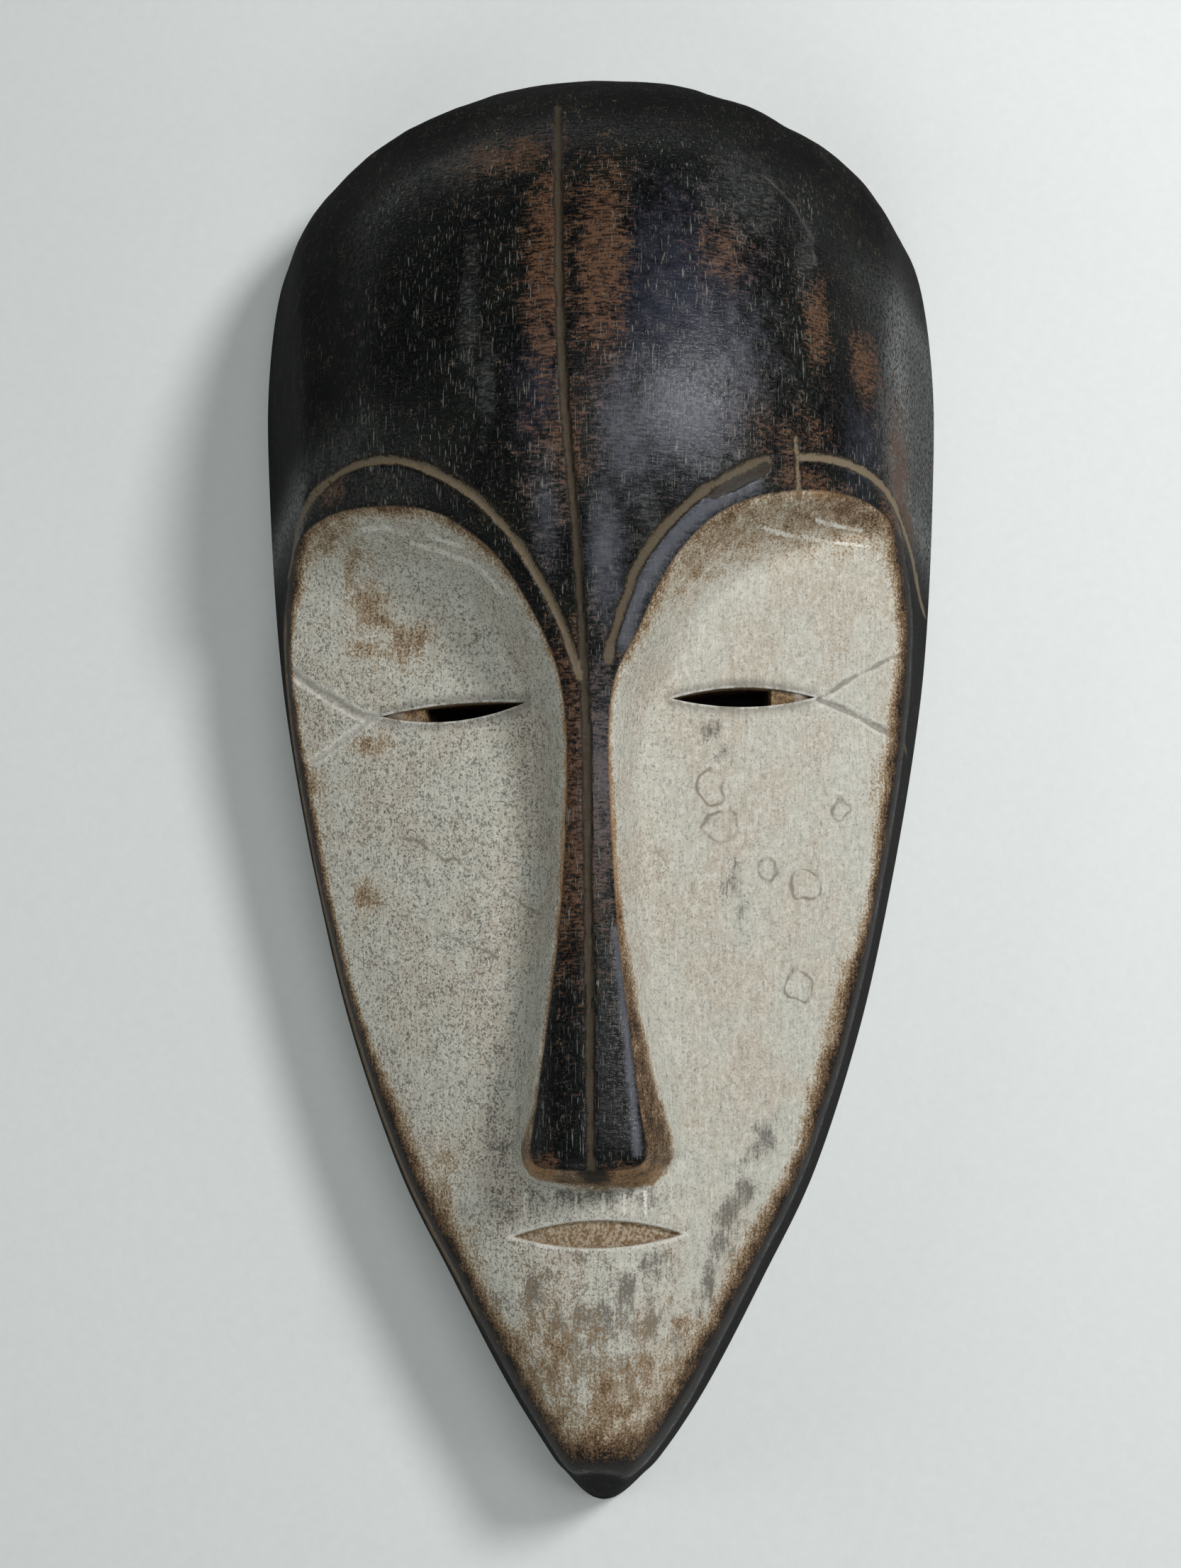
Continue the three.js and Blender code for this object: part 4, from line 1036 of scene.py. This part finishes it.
def clay_coat(n):
    """White clay with pores, dirt, painted shade and highlights, water marks and scratches, giving way to
    ochre, brown and dark wood.
    """
    smudge = n.ramp(n.rough("smudge", patchy=1.0), -0.2, 1.0)
    pores = n.plus(n.rough("grit", patchy=0.1, cloudy=0.06), n.times(smudge, 0.1))
    clay = n.coats(
        CLAY,
        (CLAY_WARM, "cloudy", 0.4, 0.6),
        (CLAY_PALE, "fine", 0.42, 0.66, 0.7),
        (PORE, pores, 0.5, 0.66, 0.85, "speckled"),
        (PORE, "speck", 0.55, 0.67, 0.65, "speckled"),
        (PORE, "brush", 0.5, 0.72, 0.17),
        (WHITE_CLAY_AND_HIGHLIGHT, "brush", 0.46, 0.3, 0.18))

    dirt = n.ramp(n.rough(smudge, grit=0.7, fine=0.9, brush=1.0), 0.3, 1.1, 0, 0.78)
    halo = n.ramp(n.rough(smudge, fine=0.3), 0.2, 1.0, 0, 0.45)
    # painted shade on the clay close to the eye slits
    shade_beside_slit = n.ramp(n.rough("slit_mm", patchy=1.6, grit=1.0), 2.6, 0.4, 0, 0.5)
    broken_highlight = n.ramp("patchy", 0.4, 0.56)
    mark = n.math("MINIMUM", n.math("ABSOLUTE", "ring_mm", 0.0), "arc_mm")
    faint = n.ramp("patchy", 0.38, 0.56, 0.2, 0.85)
    # painted highlight beside the carved lines on the clay
    groove_highlight = n.ramp("groove_tone", 0.7, 0.3, 0.2, 1)
    wear = n.rough("wear", patchy=1.0, grit=1.9, brush=0.7, cloudy=0.7)
    brown = n.coats(WORN_BROWN, (FOOT_WOOD, "rubbed", -0.2, 0.4))
    clay = n.coats(
        n.blend(n.most(dirt, halo, shade_beside_slit), clay, SOOT_AND_SHADE),
        # painted highlight along the eye slits' edges
        (WHITE_CLAY_AND_HIGHLIGHT, n.rough("slit_mm", grit=0.5), 0.7, 0.2, 0.5, broken_highlight),
        (WATER_MARK, n.rough(mark, grit=0.4), 0.62, 0.05, 1, faint),
        # painted highlight beside the carved lines
        (WHITE_CLAY_AND_HIGHLIGHT, n.rough("groove_mm", grit=0.5), 0.9, 0.1, 0.4, groove_highlight),
        (CREASE, n.rough("groove_mm", patchy=0.9, grit=0.6), -0.05, -0.5, 1, "groove_tone"),
        (OCHRE, wear, -0.1, 0.7, 0.8),
        (brown, wear, 0.6, 1.4, 0.95),
        (WORN_DARK, wear, 1.4, 2.2))

    floor = n.coats(WORN_BROWN, (CLAY_WARM, n.rough("speck", grit=0.4), 0.35, 0.65))
    clay = n.coats(
        n.blend(scratched(n), clay, WHITE_CLAY_AND_HIGHLIGHT),
        # painted highlight along the mouth's edge
        (WHITE_CLAY_AND_HIGHLIGHT, n.rough("lips_mm", patchy=0.5, grit=0.6), 0.8, 0.1, 0.5),
        (n.blend(0.45, floor, OCHRE), "lips_mm", 0.0, -0.35))
    return clay, n.ramp(wear, 0.3, 1.2)


def bare_back(n):
    """Dark bare wood of the hollow and the back, eye slit walls with painted shade, and their rough blind
    corners.
    """
    blind = n.coats(WORN_BROWN, (OCHRE, n.rough("grit", speck=0.3), 0.4, 0.65))
    return n.coats(
        BACK_DARK,
        (BACK_WOOD, n.rough("long", patchy=0.4), 0.35, 0.62),
        # painted shade inside the eye slits
        (SLIT_WALL_SHADE, "slit_mm", 1.2, 0.2, 0.5),
        (blind, "depth_mm", 3.4, 2.4))


def mask_material():
    """The whole finish of the mask, mixed by the fields that the mesh carries."""
    n = Nodes("stained_and_clayed_wood", GRAINS)
    stain, dull = stained_wood(n)
    clay, worn = clay_coat(n)
    past_ridge = n.ramp(n.rough("ridge_mm", grit=0.5), -0.25, 0.25)
    clayed = n.times(past_ridge, n.ramp(n.rough("edge_mm", patchy=0.6, grit=0.5), -0.9, -0.2))
    inside = n.ramp("depth_mm", 0.25, 1.2)

    gloss = n.rough(n.ramp("patchy", 0.3, 0.7, *STAIN_ROUGHNESS), grit=0.16)
    gloss = n.level(n.ramp("speck", 0.5, 0.42, 0, 0.8), gloss, PIT_ROUGHNESS)
    gloss = n.level(dull, gloss, RUBBED_ROUGHNESS)
    gloss = n.level("matt", gloss, 1.0)
    gloss = n.level(clayed, gloss, n.level(worn, CLAY_ROUGHNESS, WORN_ROUGHNESS))
    n.put(n.shader, {
        "Base Color": n.blend(inside, n.blend(clayed, stain, clay), bare_back(n)),
        "Roughness": n.level(inside, gloss, BACK_ROUGHNESS),
        "Specular IOR Level": SPECULAR,
    })

    on_stain, on_clay = (
        n.plus(*(n.times(name, size) for name, size in sizes.items()))
        for sizes in (STAIN_BUMPS, CLAY_BUMPS))
    on_clay = n.plus(on_clay, n.times(worn, -0.4))
    n.bump(n.level(clayed, on_stain, on_clay), BUMP_STRENGTH, BUMP_HEIGHT)
    return n.material


def floor_material():
    n = Nodes("pale_table", {"paper": FLOOR_GRAIN})
    n.put(n.shader, {"Base Color": n.blend("paper", FLOOR_DARK, FLOOR_LIGHT), "Roughness": FLOOR_ROUGHNESS})
    n.bump("paper", FLOOR_BUMP_STRENGTH, FLOOR_BUMP_HEIGHT)
    return n.material


SHARP_ANGLE = 50


def finish_mask(piece):
    """Smooth shading with crisp cut edges, the fields for the material, and the material."""
    piece.data.shade_smooth()
    piece.data.set_sharp_from_angle(angle=math.radians(SHARP_ANGLE))
    write_fields(piece)
    piece.data.materials.clear()
    piece.data.materials.append(mask_material())
    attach(piece, "root")
    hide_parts("mask")


FLOOR_SIZE = 3.0


def table():
    """The plain pale floor under the mask."""
    half = FLOOR_SIZE / 2
    corners = [(side_x * half, side_y * half, 0) for side_x, side_y in ((-1, -1), (1, -1), (1, 1), (-1, 1))]
    mesh = bpy.data.meshes.new("table")
    mesh.from_pydata(corners, [], [(0, 1, 2, 3)])
    mesh.materials.append(floor_material())
    piece = link("table", mesh)


# The camera looks down on the mask from near the chin, as the photo does. The focal length is in pixels.
PHOTO_HEIGHT = 2212
FOCAL_PIXELS = 3012
SENSOR = 36.0
CLIP_START = 0.01
CAMERA_PLACE = (0.015, -0.0925, 0.515)
CAMERA_TARGET = (-0.0024, -0.004, 0)


def aimed(place, target):
    """A transform at one place that looks at another, with the picture's top towards the crown."""
    back = (Vector(place) - Vector(target)).normalized()
    right = Vector((0, 1, 0)).cross(back).normalized()
    turn = Matrix((right, back.cross(right), back)).transposed().to_4x4()
    return Matrix.Translation(place) @ turn


def camera():
    data = bpy.data.cameras.new("camera")
    data.sensor_fit = "VERTICAL"
    data.sensor_height = SENSOR
    data.lens = FOCAL_PIXELS * SENSOR / PHOTO_HEIGHT
    data.clip_start = CLIP_START
    view = link("camera", data)
    view.matrix_world = aimed(CAMERA_PLACE, CAMERA_TARGET)
    bpy.context.scene.camera = view


# Soft lights as (name, place, size, power in watts, colour), all aimed at the mask. The key stands at the
# upper right, and the wider ones fill in. The room itself is dim.
LIGHTS = [
    ("key", (0.44, 0.26, 0.68), 0.2, 4.7, (1, 0.99, 0.97)),
    ("overhead", (0.16, 0.16, 1.0), 0.4, 2.2, (0.98, 1, 1)),
    ("right_side", (1.0, -0.35, 0.6), 0.5, 1.35, (1, 1, 0.99)),
    ("chin_side", (-0.1, -1.2, 0.9), 0.9, 5, (0.97, 1, 0.98)),
    ("left_side", (-1.3, -0.1, 0.6), 0.8, 3.2, (0.95, 1, 0.97)),
]
LIGHT_TARGET = (0, 0, 0.03)
SKY = (0.78, 0.85, 0.85, 1)
SKY_STRENGTH = 0.04


def lights():
    for name, place, size, power, colour in LIGHTS:
        data = bpy.data.lights.new(name, "AREA")
        data.shape = "DISK"
        data.size = size
        data.energy = power
        data.color = colour
        link(name, data).matrix_world = aimed(place, LIGHT_TARGET)
    world = bpy.data.worlds.new("studio")
    world.use_nodes = True
    inputs = world.node_tree.nodes["Background"].inputs
    inputs["Color"].default_value = SKY
    inputs["Strength"].default_value = SKY_STRENGTH
    bpy.context.scene.world = world


bpy.context.scene.view_settings.view_transform = "Standard"
camera()
mask = mask_shell()
finish_mask(mask)
table()
lights()
